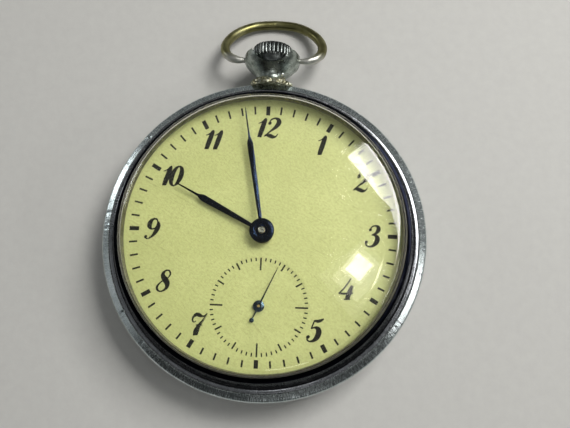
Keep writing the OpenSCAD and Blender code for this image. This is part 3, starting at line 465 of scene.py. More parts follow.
def acrylic():
    """The clear domed crystal, slightly yellowed, with hairlines and a painted shade band of darker olive low
    on its wall. Lamps' rays pass straight through.
    """
    s = Shader("clear_acrylic", (0.985, 0.975, 0.86), 0.0, 0.015, Transmission_Weight=1.0, IOR=1.49)
    parts = s.axes()
    # the darker olive tint on the lower wall is painted shade, a dark band round the crystal's edge
    wall = s.ramp(parts["Z"], 10.15 * MM, 10.7 * MM, 1.0, 0.0)
    s.drive("Base Color", s.mix(wall, (0.985, 0.975, 0.86), (0.34, 0.325, 0.21)))
    lines = s.scratches(0.64, 8000.0, (8, 63, 121, 152))
    s.bump(lines, -0.0016 * MM, 0.5)
    s.bump(s.noise(120.0, 2.0), 0.004 * MM, 0.35)
    s.drive("Roughness", s.ramp(lines, 0.0, 1.0, 0.012, 0.12))
    clear = s.node("ShaderNodeBsdfTransparent")
    clear.inputs["Color"].default_value = (0.96, 0.96, 0.91, 1)
    path = s.node("ShaderNodeLightPath")
    both = s.node("ShaderNodeMixShader")
    s.link(path.outputs["Is Shadow Ray"], both.inputs[0])
    s.link(s.bsdf.outputs[0], both.inputs[1])
    s.link(clear.outputs[0], both.inputs[2])
    s.link(both.outputs[0], s.output.inputs["Surface"])
    return s.material


def acrylic_foot_and_painted_shade():
    """The crystal's machined foot, and the base of its shoulder above the bezel: matt and yellowed, with
    cutter marks; on the shoulder's base the dark olive colour is painted shade.
    """
    s = Shader("acrylic_foot_and_painted_shade", (0.16, 0.155, 0.095), 0.0, 0.6)
    marks = s.noise(1.0, 3.0, 0.6, s.around(0, 0, 9000.0, 40.0))
    s.drive("Base Color", s.mix(s.ramp(marks, 0.35, 0.7), (0.125, 0.12, 0.070), (0.045, 0.044, 0.026)))
    s.bump(marks, 0.01 * MM, 0.7)
    return s.material


def cream_dial():
    """Cream lacquer with a fine grain, faint stains and a few hairline cracks."""
    s = Shader("cream_dial", (0.55, 0.57, 0.27), 0.0, 0.42)
    broad = s.noise(130.0, 5.0, 0.65)
    base = s.mix(s.ramp(broad, 0.35, 0.7), (0.440, 0.475, 0.240), (0.388, 0.420, 0.203))
    grain = s.noise(1.0, 4.0, 0.65, s.stretched((2600.0, 4200.0, 2600.0), (0, 0, 36)))
    base = s.mix(s.ramp(grain, 0.42, 0.74, 0.0, 0.9), base, (0.30, 0.32, 0.145))
    specks = s.ramp(s.cells(1250.0), 0.0, 0.10, 1.0, 0.0)
    specks = s.maths("MULTIPLY", specks, s.ramp(s.noise(420.0), 0.58, 0.66))
    base = s.mix(specks, base, (0.28, 0.29, 0.14))
    lines = s.scratches(0.66, 5200.0, (48, 133, 29))
    s.drive("Base Color", s.mix(s.maths("MULTIPLY", lines, 0.4), base, (0.22, 0.23, 0.10)))
    s.bump(grain, 0.006 * MM, 0.6)
    s.bump(s.noise(6500.0, 3.0), 0.004 * MM, 0.6)
    return s.material


def printed_ink():
    """Black printing, a little uneven, on the dial."""
    s = Shader("printed_ink", (0.006, 0.006, 0.005), 0.0, 0.45, Specular_IOR_Level=0.15)
    uneven = s.noise(2600.0, 4.0)
    s.drive("Base Color", s.mix(s.ramp(uneven, 0.45, 0.75), (0.003, 0.003, 0.003), (0.014, 0.014, 0.010)))
    s.bump(uneven, 0.006 * MM, 0.6)
    return s.material


def blued_steel(name, color, rim):
    """Heat-blued steel: nearly black, blue where the colour thins, finely grained along its length."""
    s = Shader(name, color, 1.0, 0.2)
    tone = s.noise(600.0, 4.0)
    s.drive("Base Color", s.mix(s.ramp(tone, 0.4, 0.68), color, rim))
    grain = s.noise(1.0, 3.0, 0.6, s.stretched((9000.0, 1200.0, 1200.0)))
    s.drive("Roughness", s.ramp(grain, 0.3, 0.75, 0.12, 0.34))
    s.bump(grain, 0.002 * MM, 0.6)
    return s.material


def brushed(name, color, dull, roughness=0.24, grain=9000.0, spread=0.14):
    """Brushed or turned metal with a straight fine grain and cloudy tarnish."""
    s = Shader(name, color, 1.0, roughness)
    lines = s.noise(1.0, 3.0, 0.6, s.stretched((grain * 0.05, grain, grain * 0.05), (0, 0, 12)))
    cloud = s.ramp(s.noise(520.0, 5.0, 0.6), 0.38, 0.72)
    s.drive("Base Color", s.mix(cloud, color, dull))
    s.drive("Roughness", s.ramp(lines, 0.25, 0.75, roughness - spread * 0.6, roughness + spread))
    s.bump(lines, 0.003 * MM, 0.7)
    return s.material


def striped_nickel():
    """Nickel-plated bridges with broad ground stripes."""
    s = Shader("striped_nickel", (0.62, 0.60, 0.54), 1.0, 0.26)
    wave = s.node("ShaderNodeTexWave", wave_type="BANDS", bands_direction="X", wave_profile="SAW")
    wave.inputs["Scale"].default_value = 105.0
    s.link(s.stretched((1, 1, 1), (0, 0, 32)), wave.inputs["Vector"])
    stripe = wave.outputs["Fac"]
    fine = s.noise(1.0, 2.0, 0.5, s.stretched((14000.0, 500.0, 500.0), (0, 0, 20)))
    s.drive("Base Color", s.mix(s.ramp(stripe, 0.0, 1.0, 0.0, 0.7), (0.66, 0.64, 0.58), (0.50, 0.49, 0.45)))
    s.drive("Roughness", s.ramp(fine, 0.3, 0.75, 0.14, 0.38))
    s.bump(stripe, 0.012 * MM, 0.7)
    s.bump(fine, 0.003 * MM, 0.6)
    return s.material


def ruby():
    """Synthetic ruby with cloudy depth."""
    s = Shader("ruby", (0.45, 0.012, 0.06), 0.0, 0.06, IOR=1.76, Coat_Weight=0.4)
    s.drive("Base Color", s.mix(s.ramp(s.noise(2800.0, 3.0), 0.35, 0.7),
                                (0.42, 0.010, 0.05), (0.62, 0.04, 0.12)))
    s.bump(s.noise(5000.0, 2.0), 0.002 * MM, 0.4)
    return s.material


def table_top():
    """Pale plain paper. It can be seen through from below, so that the back is not hidden."""
    s = Shader("table_top", (0.53, 0.52, 0.50), 0.0, 0.75)
    fibre = s.noise(700.0, 6.0, 0.65)
    s.drive("Base Color", s.mix(s.ramp(fibre, 0.35, 0.7), (0.565, 0.560, 0.535), (0.535, 0.528, 0.507)))
    s.bump(s.noise(2600.0, 4.0), 0.02 * MM, 0.5)
    below = s.node("ShaderNodeNewGeometry").outputs["Backfacing"]
    path = s.node("ShaderNodeLightPath")
    near = s.maths("LESS_THAN", path.outputs["Ray Length"], 2.5 * MM)
    near = s.maths("MULTIPLY", near, s.maths("SUBTRACT", 1.0, path.outputs["Is Camera Ray"]))
    clear = s.node("ShaderNodeBsdfTransparent")
    both = s.node("ShaderNodeMixShader")
    s.link(s.maths("MAXIMUM", below, near), both.inputs[0])
    s.link(s.bsdf.outputs[0], both.inputs[1])
    s.link(clear.outputs[0], both.inputs[2])
    s.link(both.outputs[0], s.output.inputs["Surface"])
    return s.material


MAT = {
    "rim": rim_chrome(),
    "case": chrome_plate("case_chrome", (0.60, 0.62, 0.61), (0.42, 0.44, 0.42), 0.17, 0.25, 0.012),
    # the bezel foot's darker grey plate colours are a painted dark reflection
    "foot": chrome_plate("bezel_foot_painted_dark", (0.30, 0.31, 0.33), (0.20, 0.21, 0.22), 0.22, 0.25, 0.006),
    "bezel": bezel_wall_painted_dark(),
    "pendant": worn_pendant(),
    "solder": solder(),
    "wire": brass_wire(),
    "crown": crown_chrome(),
    "acrylic": acrylic(),
    "acrylic_foot_and_painted_shade": acrylic_foot_and_painted_shade(),
    "dial": cream_dial(),
    "ink": printed_ink(),
    "hand": blued_steel("blued_hand", (0.005, 0.006, 0.012), (0.007, 0.014, 0.040)),
    "second_hand": blued_steel("blued_seconds", (0.05, 0.08, 0.12), (0.09, 0.13, 0.20)),
    "screw": blued_steel("blued_screw", (0.015, 0.025, 0.12), (0.03, 0.06, 0.26)),
    "steel": brushed("bright_steel", (0.56, 0.57, 0.58), (0.42, 0.43, 0.44)),
    "spring": brushed("spring_steel", (0.20, 0.22, 0.27), (0.13, 0.14, 0.18), 0.28),
    "gilt": brushed("gilt_brass", (0.72, 0.53, 0.22), (0.55, 0.39, 0.15), 0.26, 7000.0),
    "nickel": striped_nickel(),
    "ruby": ruby(),
}

NODE_FINISH = {
    "rim": ["case_band"],
    "case": ["case_back"],
    "bezel": ["bezel"],
    "pendant": ["pendant"],
    "wire": ["bow"],
    "crown": ["crown"],
    "acrylic": ["crystal"],
    "dial": ["dial"],
    "hand": ["hour_hand", "minute_hand", "cannon_pinion"],
    "second_hand": ["seconds_hand"],
    "screw": ["bridge_screws", "click_screw"],
    "spring": ["mainspring", "click_spring", "hairspring", "yoke_spring", "setting_lever_spring"],
    "gilt": [
        "barrel", "barrel_cover", "centre_wheel", "third_wheel", "fourth_wheel", "balance_wheel",
        "balance_screws", "minute_wheel", "hour_wheel", "dial_washer", "setting_wheel",
    ],
    "nickel": ["mainplate", "barrel_bridge", "train_bridge", "balance_cock", "pallet_cock"],
    "ruby": ["plate_jewels", "bridge_jewels"],
}


def finish_nodes():
    """Gives every CAD node its material; the rest are steel."""
    finish = {node: key for key, nodes in NODE_FINISH.items() for node in nodes}
    for name, obj in NODES.items():
        obj.data.materials.clear()
        obj.data.materials.append(MAT[finish.get(name, "steel")])


# ---- Case ----

def case_band_piece():
    """The band: a rounded flank up to a worn, slightly sloping polished rim."""
    back_skirt_r = CASE_R - 2.05
    rim_r = CASE_R - 1.1
    neck_r = rim_r - 1.25
    seat_r = 18.1
    flank = [(CASE_R - 0.8 + 0.8 * math.sin(math.radians(a)), 2.5 + 2.9 * (1 - math.cos(math.radians(a))))
             for a in range(6, 90, 6)]
    edge = arc(CASE_R - 0.5, 6.12, 0.5, 0, 68, 10)
    slope = [(rim_r + 0.62 - 0.062 * i, 6.66 + 0.031 * i) for i in range(1, 10)]
    profile = (
        [(back_skirt_r + 0.05, 2.5), (CASE_R - 0.8, 2.5)] + flank + [(CASE_R, 5.5)] + edge + slope
        + [(rim_r + 0.02, 6.99), (rim_r, 6.95), (rim_r - 0.05, 6.5), (neck_r, 6.5), (neck_r, 7.4),
           (seat_r, 7.4), (seat_r, 5.2), (seat_r - 0.8, 5.2), (seat_r - 0.8, 4.4),
           (back_skirt_r - 0.6, 4.4), (back_skirt_r - 0.6, 3.7), (back_skirt_r + 0.05, 3.7)]
    )

    def worn(r, z, a):
        if r < rim_r + 0.01 or z < 5.4:
            return r, z
        p = Vector((CASE_R * math.cos(a), CASE_R * math.sin(a), 0.0))
        wave = noise.noise(p * 0.35) * 0.03
        nick = max(0.0, noise.noise(p * 2.6 + Vector((0, 0, z))) - 0.42) * 0.22
        return r - nick, z - nick * 0.5 + wave * 0.5

    obj = lathe("case_band_turned", profile, [MAT["rim"]], None, 720, worn)
    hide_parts("case_band")
    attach(obj, "case_and_movement")


def bezel_piece():
    """The snap-on bezel: a grey foot that curves up into a steep dark wall with a bright lip; the foot's
    darker grey and the wall's near-black colour are painted dark reflection.
    """
    foot_r = CASE_R - 1.18
    neck_r = CASE_R - 2.35
    side_r = CASE_R - 3.15
    seat_r = CASE_R - 2.85
    foot = [(foot_r, 6.54), (foot_r, 7.0)] + arc(foot_r - 0.14, 7.0, 0.14, 8, 82, 6)
    hollow = spline([(foot_r - 0.2, 7.145), (foot_r - 0.48, 7.23), (foot_r - 0.66, 7.42),
                     (foot_r - 0.78, 7.75)], 6)
    wall = [(foot_r - 0.78 - 0.53 * i / 8, 7.75 + 1.72 * i / 8) for i in range(1, 9)]
    lip = arc(foot_r - 1.47, 9.5, 0.19, 8, 80, 6)
    inside = [
        (side_r + 0.07, 9.68), (side_r + 0.05, 9.62), (side_r + 0.05, 9.32), (seat_r + 0.05, 9.32),
        (seat_r + 0.05, 8.78), (19.2, 8.78), (19.2, 7.5), (neck_r + 0.05, 7.5), (neck_r + 0.05, 6.54),
    ]
    profile = foot + hollow + wall + lip + inside
    foot_end = len(foot) + 7
    bands = [0 if k < foot_end else 1 for k in range(len(profile))]
    obj = lathe("bezel_turned", profile, [MAT["foot"], MAT["bezel"]], bands, 720)
    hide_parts("bezel")
    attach(obj, "bezel_and_crystal")


def crystal_piece():
    """The domed acrylic crystal: a thick wall, rounded shoulder and shallow dome."""
    side_r, seat_r, top = CASE_R - 3.15, CASE_R - 2.85, 12.4
    shoulder, rise, thick, wall = 1.5, 0.75, 0.6, 0.38
    dome_r = side_r - shoulder
    shoulder_z = top - rise - shoulder
    ball = (dome_r ** 2 + rise ** 2) / (2 * rise)

    def dome(r, lift):
        return top - lift - ball + math.sqrt(ball ** 2 - r ** 2)

    outer = [(seat_r, 8.82), (seat_r, 9.3), (side_r, 9.3)]
    outer += arc(dome_r, shoulder_z, shoulder, 0, 85, 18)
    outer += [(dome_r * (1 - i / 24), dome(dome_r * (1 - i / 24), 0)) for i in range(1, 25)]
    inner = [((dome_r - 0.15) * i / 24, dome((dome_r - 0.15) * i / 24, thick)) for i in range(24)]
    inner += [(dome_r + (shoulder - wall) * math.cos(math.radians(a)),
               shoulder_z - 0.1 + (shoulder - wall) * math.sin(math.radians(a))) for a in range(85, -1, -5)]
    inner += [(side_r - wall, 8.82)]
    profile = outer + inner
    # the foot and the shoulder's base take the matt dark edge finish; on the shoulder's base its dark colour
    # is painted shade
    wall_end, foot_start = 8, len(profile) - 6
    bands = [1 if k < wall_end or k >= foot_start else 0 for k in range(len(profile))]
    obj = lathe("crystal_dome", profile, [MAT["acrylic"], MAT["acrylic_foot_and_painted_shade"]], bands, 512, sharp=50.0)
    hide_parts("crystal")
    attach(obj, "bezel_and_crystal")


def case_back_piece():
    """The snap-on back: a flat that curves up to the band, with a thumbnail lip."""
    flat_r, edge_r, skirt_r, n = 13.0, CASE_R - 0.85, CASE_R - 2.05, 36
    span = edge_r - flat_r
    outer = [(flat_r + span * math.sin(math.radians(80 * i / n)),
              2.0 * (1 - math.cos(math.radians(90 * i / n)))) for i in range(n + 1)]
    inner = [(flat_r - 0.3 + (span - 1.2) * math.sin(math.radians(80 * i / n)),
              0.6 + 2.1 * (1 - math.cos(math.radians(84 * i / n)))) for i in range(n - 4, -1, -1)]
    rings = [(flat_r * i / 8, 0.0) for i in range(8)]
    skirt = [(edge_r, 2.1), (edge_r, 2.46), (skirt_r, 2.46), (skirt_r, 3.5), (skirt_r - 0.45, 3.5)]
    profile = rings + outer + skirt + inner + [(0, 0.6)]
    obj = lathe("case_back_turned", profile, [MAT["case"]], None, 512)
    verts, faces = [], []
    left = [(edge_r - 0.3, y) for y in (-1.5, -1.2, -0.6, 0.6, 1.2, 1.5)]
    right = [(edge_r + x, y) for x, y in ((0.12, -1.5), (0.38, -1.2), (0.46, -0.6),
                                          (0.46, 0.6), (0.38, 1.2), (0.12, 1.5))]
    turn = math.radians(-120)

    def turned(p):
        return (p[0] * math.cos(turn) - p[1] * math.sin(turn), p[0] * math.sin(turn) + p[1] * math.cos(turn))

    prism_strip(verts, faces, [turned(p) for p in right], [turned(p) for p in left], 1.97, 2.35)
    lip = make_object("case_back_lip", verts, faces, [MAT["case"]], sharp=30)
    for piece in (obj, lip):
        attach(piece, "case_back")
    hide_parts("case_back")


def pendant_solder():
    """A lumpy ring of solder at the pendant's foot, with one bright bead."""
    verts, faces = [], []
    around, rows = 120, 16
    for k in range(rows + 1):
        t = k / rows
        for i in range(around):
            a = 2 * math.pi * i / around
            turn = Vector((2.4 * math.cos(a), 2.4 * math.sin(a), 1.4 * t))
            lump = noise.noise(turn) + 0.55 * noise.noise(turn * 2.9) + 0.3 * noise.noise(turn * 6.0)
            swell = math.sin(math.pi * min(1.0, t * 1.1)) ** 0.8
            r = 2.05 + 1.3 * (1 - t) ** 1.7 + (0.55 * swell + 0.45 * (1 - t)) * lump + 0.14 * swell
            y = CASE_R - 0.4 + 1.75 * t + 0.32 * lump * swell
            verts.append((r * math.sin(a), y, STEM_Z + r * math.cos(a) * 0.92))
    for k in range(rows):
        join_rings(faces, k * around, (k + 1) * around, around)
    inner = len(verts)
    for r, y in ((1.7, CASE_R + 1.35), (1.7, CASE_R - 0.4)):
        for i in range(around):
            a = 2 * math.pi * i / around
            verts.append((r * math.sin(a), y, STEM_Z + r * math.cos(a)))
    for low, high in ((rows * around, inner), (inner, inner + around), (inner + around, 0)):
        join_rings(faces, low, high, around)
    ring = make_object("pendant_solder_ring", verts, faces, [MAT["solder"]], sharp=80)
    bead_points, bead_faces = [], []
    rows, cols = 10, 16
    for i in range(rows + 1):
        phi = math.pi * i / rows
        for k in range(cols):
            th = 2 * math.pi * k / cols
            d = Vector((math.sin(phi) * math.cos(th), math.sin(phi) * math.sin(th), math.cos(phi)))
            size = 0.34 * (1 + 0.2 * noise.noise(d * 1.7))
            bead_points.append((1.62 + d.x * size, CASE_R + 1.62 + d.y * size * 0.9,
                                STEM_Z + 1.38 + d.z * size * 0.8))
    for i in range(rows):
        join_rings(bead_faces, i * cols, (i + 1) * cols, cols)
    bead = make_object("pendant_solder_bead", bead_points, bead_faces, [MAT["case"]], sharp=80)
    for piece in (ring, bead):
        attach(piece, "case_and_movement")


def bow_piece():
    """The wire bow: an oval loop, thinner at the ends that enter the ears, lying back on the table."""
    half = [
        (3.16, 0.0, 0.375), (3.6, 0.0, 0.375), (4.25, 0.0, 0.38), (4.8, 0.0, 0.46), (5.5, 0.16, 0.58),
        (6.35, 0.66, 0.64), (7.05, 1.6, 0.68), (7.35, 2.9, 0.70), (7.15, 4.4, 0.70), (6.3, 6.1, 0.70),
        (4.8, 7.62, 0.70), (2.75, 8.68, 0.70), (0.0, 9.05, 0.70),
    ]
    right = spline(half, 8)
    line = right + [(-u, v, r) for u, v, r in reversed(right[:-1])]
    path, radii = [], []
    for u, v, r in line:
        wobble = 0.035 * noise.noise(Vector((u * 0.5, v * 0.5, 1.7)))
        path.append((u, PIVOT_Y + v * math.cos(BOW_REST),
                     STEM_Z - v * math.sin(BOW_REST) + (wobble if v > 1 else 0)))
        radii.append(r * (1 + 0.02 * noise.noise(Vector((u, v, 5.0)))))
    obj = sweep("bow_wire", path, radii, [MAT["wire"]], 32)
    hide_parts("bow")
    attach(obj, "bow")


def crown_piece():
    """The crown: thirty rounded flutes between a smooth shoulder and a shallow end cap."""
    flutes, per = 30, 12
    n = flutes * per
    low = PIVOT_Y + 0.05
    rows = [
        (0.62, low - 1.66, 0.0), (1.55, low - 1.66, 0.0), (1.95, low - 1.53, 0.0), (2.28, low - 1.27, 0.0),
        (2.48, low - 0.95, 0.0), (2.62, low - 0.52, 0.0), (2.72, low - 0.14, 0.0), (2.82, low, 0.25),
        (2.92, low + 0.1, 0.8), (2.945, low + 0.2, 1.0), (2.95, low + 0.9, 1.0), (2.945, low + 1.55, 1.0),
        (2.90, low + 1.68, 0.8), (2.78, low + 1.78, 0.3), (2.6, low + 1.85, 0.0), (2.1, low + 1.97, 0.0),
        (1.4, low + 2.05, 0.0), (0.7, low + 2.08, 0.0),
    ]
    verts, faces = [], []
    for r, y, depth in rows:
        for i in range(n):
            a = 2 * math.pi * i / n
            phase = (i % per) / per
            groove = 1 - abs(math.sin(math.pi * phase)) ** 0.7
            rr = r - 0.27 * depth * groove
            verts.append((rr * math.sin(a), y, STEM_Z + rr * math.cos(a)))
    tip = len(verts)
    verts.append((0.0, low + 2.09, STEM_Z))
    bore = len(verts)
    for i in range(n):
        a = 2 * math.pi * i / n
        verts.append((0.6 * math.sin(a), low - 0.2, STEM_Z + 0.6 * math.cos(a)))
    floor_centre = len(verts)
    verts.append((0.0, low - 0.2, STEM_Z))
    for k in range(len(rows) - 1):
        join_rings(faces, k * n, (k + 1) * n, n)
    last = (len(rows) - 1) * n
    for i in range(n):
        j = (i + 1) % n
        faces.append([last + i, last + j, tip])
        faces.append([bore + i, bore + j, j, i])
        faces.append([bore + j, bore + i, floor_centre])
    obj = make_object("crown_fluted", verts, faces, [MAT["crown"]], sharp=50)
    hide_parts("crown")
    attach(obj, "crown_and_stem")


# ---- Dial printing ----

DIGITS = {
    "0": [[(0.30, 1.0, 0.05), (0.15, 0.85, 0.13), (0.07, 0.5, 0.18), (0.12, 0.15, 0.13), (0.27, 0.0, 0.05),
           (0.42, 0.15, 0.13), (0.50, 0.5, 0.18), (0.45, 0.85, 0.13), (0.30, 1.0, 0.05)]],
    "1": [[(0.33, 1.0, 0.05), (0.31, 0.86, 0.15), (0.27, 0.45, 0.18), (0.24, 0.1, 0.16), (0.24, 0.0, 0.14)],
          [(0.34, 1.0, 0.04), (0.25, 0.86, 0.06), (0.12, 0.76, 0.04), (0.02, 0.73, 0.03)]],
    "2": [[(0.13, 0.76, 0.04), (0.19, 0.93, 0.06), (0.36, 1.0, 0.07), (0.53, 0.93, 0.13), (0.59, 0.76, 0.18),
           (0.51, 0.57, 0.15), (0.33, 0.37, 0.08), (0.14, 0.18, 0.04), (0.04, 0.05, 0.04)],
          [(0.04, 0.05, 0.04), (0.15, 0.13, 0.10), (0.32, 0.09, 0.14), (0.48, 0.03, 0.12), (0.61, 0.06, 0.06),
           (0.68, 0.2, 0.03)]],
    "3": [[(0.14, 0.82, 0.04), (0.22, 0.96, 0.05), (0.36, 1.0, 0.06), (0.50, 0.93, 0.12), (0.53, 0.77, 0.15),
           (0.43, 0.62, 0.09), (0.27, 0.55, 0.04)],
          [(0.27, 0.55, 0.04), (0.44, 0.54, 0.08), (0.57, 0.40, 0.16), (0.56, 0.19, 0.17), (0.42, 0.03, 0.10),
           (0.25, 0.0, 0.05), (0.12, 0.06, 0.05), (0.07, 0.18, 0.04)]],
    "4": [[(0.40, 1.0, 0.05), (0.28, 0.72, 0.06), (0.14, 0.47, 0.06), (-0.02, 0.27, 0.05)],
          [(-0.02, 0.28, 0.06), (0.30, 0.27, 0.07), (0.64, 0.30, 0.06)],
          [(0.52, 0.66, 0.10), (0.47, 0.40, 0.16), (0.43, 0.12, 0.16), (0.42, 0.02, 0.13)],
          [(0.25, 0.01, 0.04), (0.42, 0.02, 0.06), (0.57, 0.02, 0.04)]],
    "5": [[(0.22, 0.95, 0.05), (0.36, 0.92, 0.10), (0.50, 0.95, 0.11), (0.64, 1.04, 0.04)],
          [(0.23, 0.96, 0.05), (0.20, 0.77, 0.05), (0.16, 0.57, 0.05)],
          [(0.16, 0.57, 0.04), (0.30, 0.63, 0.07), (0.46, 0.58, 0.14), (0.54, 0.40, 0.19), (0.50, 0.18, 0.18),
           (0.36, 0.03, 0.10), (0.20, 0.0, 0.05), (0.09, 0.07, 0.05), (0.07, 0.17, 0.04)]],
    "7": [[(0.20, 0.66, 0.03), (0.12, 0.60, 0.04), (0.03, 0.68, 0.05), (0.03, 0.84, 0.08), (0.14, 0.95, 0.13),
           (0.28, 0.93, 0.12), (0.42, 0.88, 0.08), (0.54, 0.92, 0.05), (0.62, 1.02, 0.04)],
          [(0.62, 1.02, 0.04), (0.52, 0.74, 0.06), (0.40, 0.48, 0.12), (0.33, 0.22, 0.19), (0.34, 0.0, 0.15)],
          [(0.24, 0.46, 0.03), (0.38, 0.50, 0.05), (0.54, 0.47, 0.03)]],
    "8": [[(0.52, 0.84, 0.06), (0.42, 0.98, 0.05), (0.28, 0.99, 0.06), (0.17, 0.87, 0.11), (0.20, 0.71, 0.15),
           (0.34, 0.56, 0.18), (0.48, 0.39, 0.17), (0.51, 0.20, 0.12), (0.40, 0.05, 0.07), (0.24, 0.0, 0.05),
           (0.10, 0.08, 0.07), (0.06, 0.24, 0.08), (0.16, 0.42, 0.05), (0.34, 0.56, 0.04), (0.48, 0.70, 0.05),
           (0.52, 0.84, 0.06)]],
    "9": [[(0.49, 0.78, 0.05), (0.40, 0.96, 0.05), (0.24, 0.98, 0.08), (0.12, 0.83, 0.16), (0.13, 0.63, 0.15),
           (0.26, 0.49, 0.06), (0.40, 0.53, 0.05), (0.49, 0.66, 0.04)],
          [(0.49, 0.86, 0.06), (0.54, 0.64, 0.16), (0.50, 0.38, 0.16), (0.38, 0.14, 0.09), (0.22, 0.02, 0.05),
           (0.08, 0.06, 0.05)]],
}
DIGIT_DOTS = {
    "2": (0.16, 0.74, 0.085), "3": (0.16, 0.80, 0.075), "5": (0.10, 0.19, 0.085), "9": (0.09, 0.11, 0.075),
}
LOWER_DOTS = {"3": (0.09, 0.20, 0.08)}
DIGIT_WIDTH = {"1": 0.42}
USUAL_WIDTH = 0.62
NUMERALS = {
    "12": (0.0, 0.83), "1": (0.42, 0.70), "2": (0.73, 0.42), "3": (0.82, 0.0), "4": (0.64, -0.40),
    "5": (0.41, -0.71), "7": (-0.44, -0.70), "8": (-0.71, -0.39), "9": (-0.83, 0.0), "10": (-0.71, 0.42),
    "11": (-0.42, 0.72),
}
NUMERAL_H = 2.85
PEN = 1.38
SLANT = 0.20
INK = 0.014

# Marks: where an hour or minute mark starts, as a share of the track's radius, and its width
HOUR_MARK = (0.932, 0.56)
MINUTE_MARK = (0.942, 0.25)
SECONDS_TRACK_R = 6.5
SECONDS_SINK = 0.06


def numeral(verts, faces, text, centre):
    """One hour figure, upright at its place on the dial."""
    widths = [DIGIT_WIDTH.get(c, USUAL_WIDTH) for c in text]
    x0 = -sum(widths) / 2
    for char, width in zip(text, widths):
        def place(x, y, x0=x0):
            u = x0 + x + SLANT * (y - 0.5)
            return (centre[0] + u * NUMERAL_H, centre[1] + (y - 0.5) * NUMERAL_H)
        for points in DIGITS[char]:
            pen_stroke(verts, faces, points, place, DIAL_Z, DIAL_Z + INK)
        for dots in (DIGIT_DOTS, LOWER_DOTS):
            if char in dots:
                dot(verts, faces, *dots[char], place, DIAL_Z, DIAL_Z + INK)
        x0 += width


def tick(verts, faces, centre, angle, r_in, r_out, width, low):
    """A straight mark that points away from a centre, at an angle in degrees clockwise from twelve."""
    a = math.radians(90 - angle)
    out = Vector((math.cos(a), math.sin(a)))
    side = Vector((-out.y, out.x)) * width / 2
    c = Vector(centre)
    left = [tuple(c + out * r + side) for r in (r_in, r_out)]
    right = [tuple(c + out * r - side) for r in (r_in, r_out)]
    prism_strip(verts, faces, left, right, low, low + INK)


def dial_printing():
    """All the black printing: hour figures, the minute track and the seconds track."""
    verts, faces = [], []
    for text, (x, y) in NUMERALS.items():
        numeral(verts, faces, text, (x * TRACK_R, y * TRACK_R))
    for minute in range(60):
        start, width = MINUTE_MARK if minute % 5 else HOUR_MARK
        tick(verts, faces, (0, 0), 6 * minute, TRACK_R * start, TRACK_R, width, DIAL_Z)
    for second in range(60):
        length = 1.7 if second % 15 == 0 else 1.0 if second % 5 == 0 else 0.45
        width = 0.17 if second % 5 else 0.22
        tick(verts, faces, (0, SECONDS_Y), 6 * second, SECONDS_TRACK_R - length, SECONDS_TRACK_R, width,
             DIAL_Z - SECONDS_SINK)
    obj = make_object("dial_printing", verts, faces, [MAT["ink"]], smooth=False)
    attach(obj, "case_and_movement")


# ---- Hands ----

def blade(verts, faces, stations, low, edge, ridge):
    """A hand's blade along +Y: stations are (y, half width); its top is bevelled to a middle ridge."""
    base = len(verts)
    for y, w in stations:
        rise = ridge * min(1.0, w / 0.3)
        verts.extend([(-w, y, low), (w, y, low), (w, y, low + edge),
                      (0, y, low + edge + rise), (-w, y, low + edge)])
    n = len(stations)
    for i in range(n - 1):
        for k in range(5):
            a, b = base + i * 5 + k, base + i * 5 + (k + 1) % 5
            faces.append([a, b, b + 5, a + 5])
    faces.append([base + k for k in (4, 3, 2, 1, 0)])
    faces.append([base + (n - 1) * 5 + k for k in range(5)])


def boss(verts, faces, profile, n=96):
    """A turned boss about the hand's own axis, from a closed (radius, height) profile."""
    base = len(verts)
    for r, z in profile:
        for i in range(n):
            a = 2 * math.pi * i / n
            verts.append((r * math.cos(a), r * math.sin(a), z))
    rows = len(profile)
    for k in range(rows):
        join_rings(faces, base + k * n, base + (k + 1) % rows * n, n)


def placed(verts, turn, x=0.0, y=0.0):
    """Turns a hand to the time that it shows and moves it to its arbor."""
    spin = Matrix.Rotation(turn, 3, "Z")
    return [tuple(spin @ Vector(v) + Vector((x, y, 0))) for v in verts]


def hour_hand_piece():
    """The hour hand: a bevelled baton that narrows to a needle."""
    verts, faces = [], []
    z = 8.7
    blade(verts, faces, [(1.3, 0.26), (3.0, 0.31), (6.0, 0.40), (8.9, 0.47), (9.4, 0.46), (9.75, 0.34),
                         (10.1, 0.19), (10.5, 0.15), (13.2, 0.09), (13.7, 0.04)], z, 0.10, 0.09)
    boss(verts, faces, [(1.25, z), (1.55, z), (1.6, z + 0.05), (1.6, z + 0.14), (1.54, z + 0.19),
                        (1.25, z + 0.2)])
    obj = make_object("hour_hand_bevelled", placed(verts, HOUR_TURN), faces, [MAT["hand"]], sharp=25)
    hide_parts("hour_hand")
    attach(obj, "hour_wheel_and_hour_hand")


def minute_hand_piece():
    """The minute hand, with the domed boss that covers the cannon pinion."""
    verts, faces = [], []
    z = 9.3
    blade(verts, faces, [(1.4, 0.22), (4.0, 0.29), (8.0, 0.36), (11.9, 0.42), (12.4, 0.41), (12.8, 0.28),
                         (13.2, 0.16), (13.6, 0.12), (17.0, 0.075), (17.6, 0.03)], z, 0.10, 0.09)
    dome = [(0.85, z), (1.55, z), (1.66, z + 0.08), (1.66, z + 0.2), (1.58, z + 0.31), (1.42, z + 0.37),
            (1.12, z + 0.40), (1.02, z + 0.36), (0.94, z + 0.36), (0.85, z + 0.33)]
    boss(verts, faces, dome)
    obj = make_object("minute_hand_bevelled", placed(verts, MINUTE_TURN), faces, [MAT["hand"]], sharp=25)
    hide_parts("minute_hand")
    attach(obj, "centre_wheel_and_minute_hand")


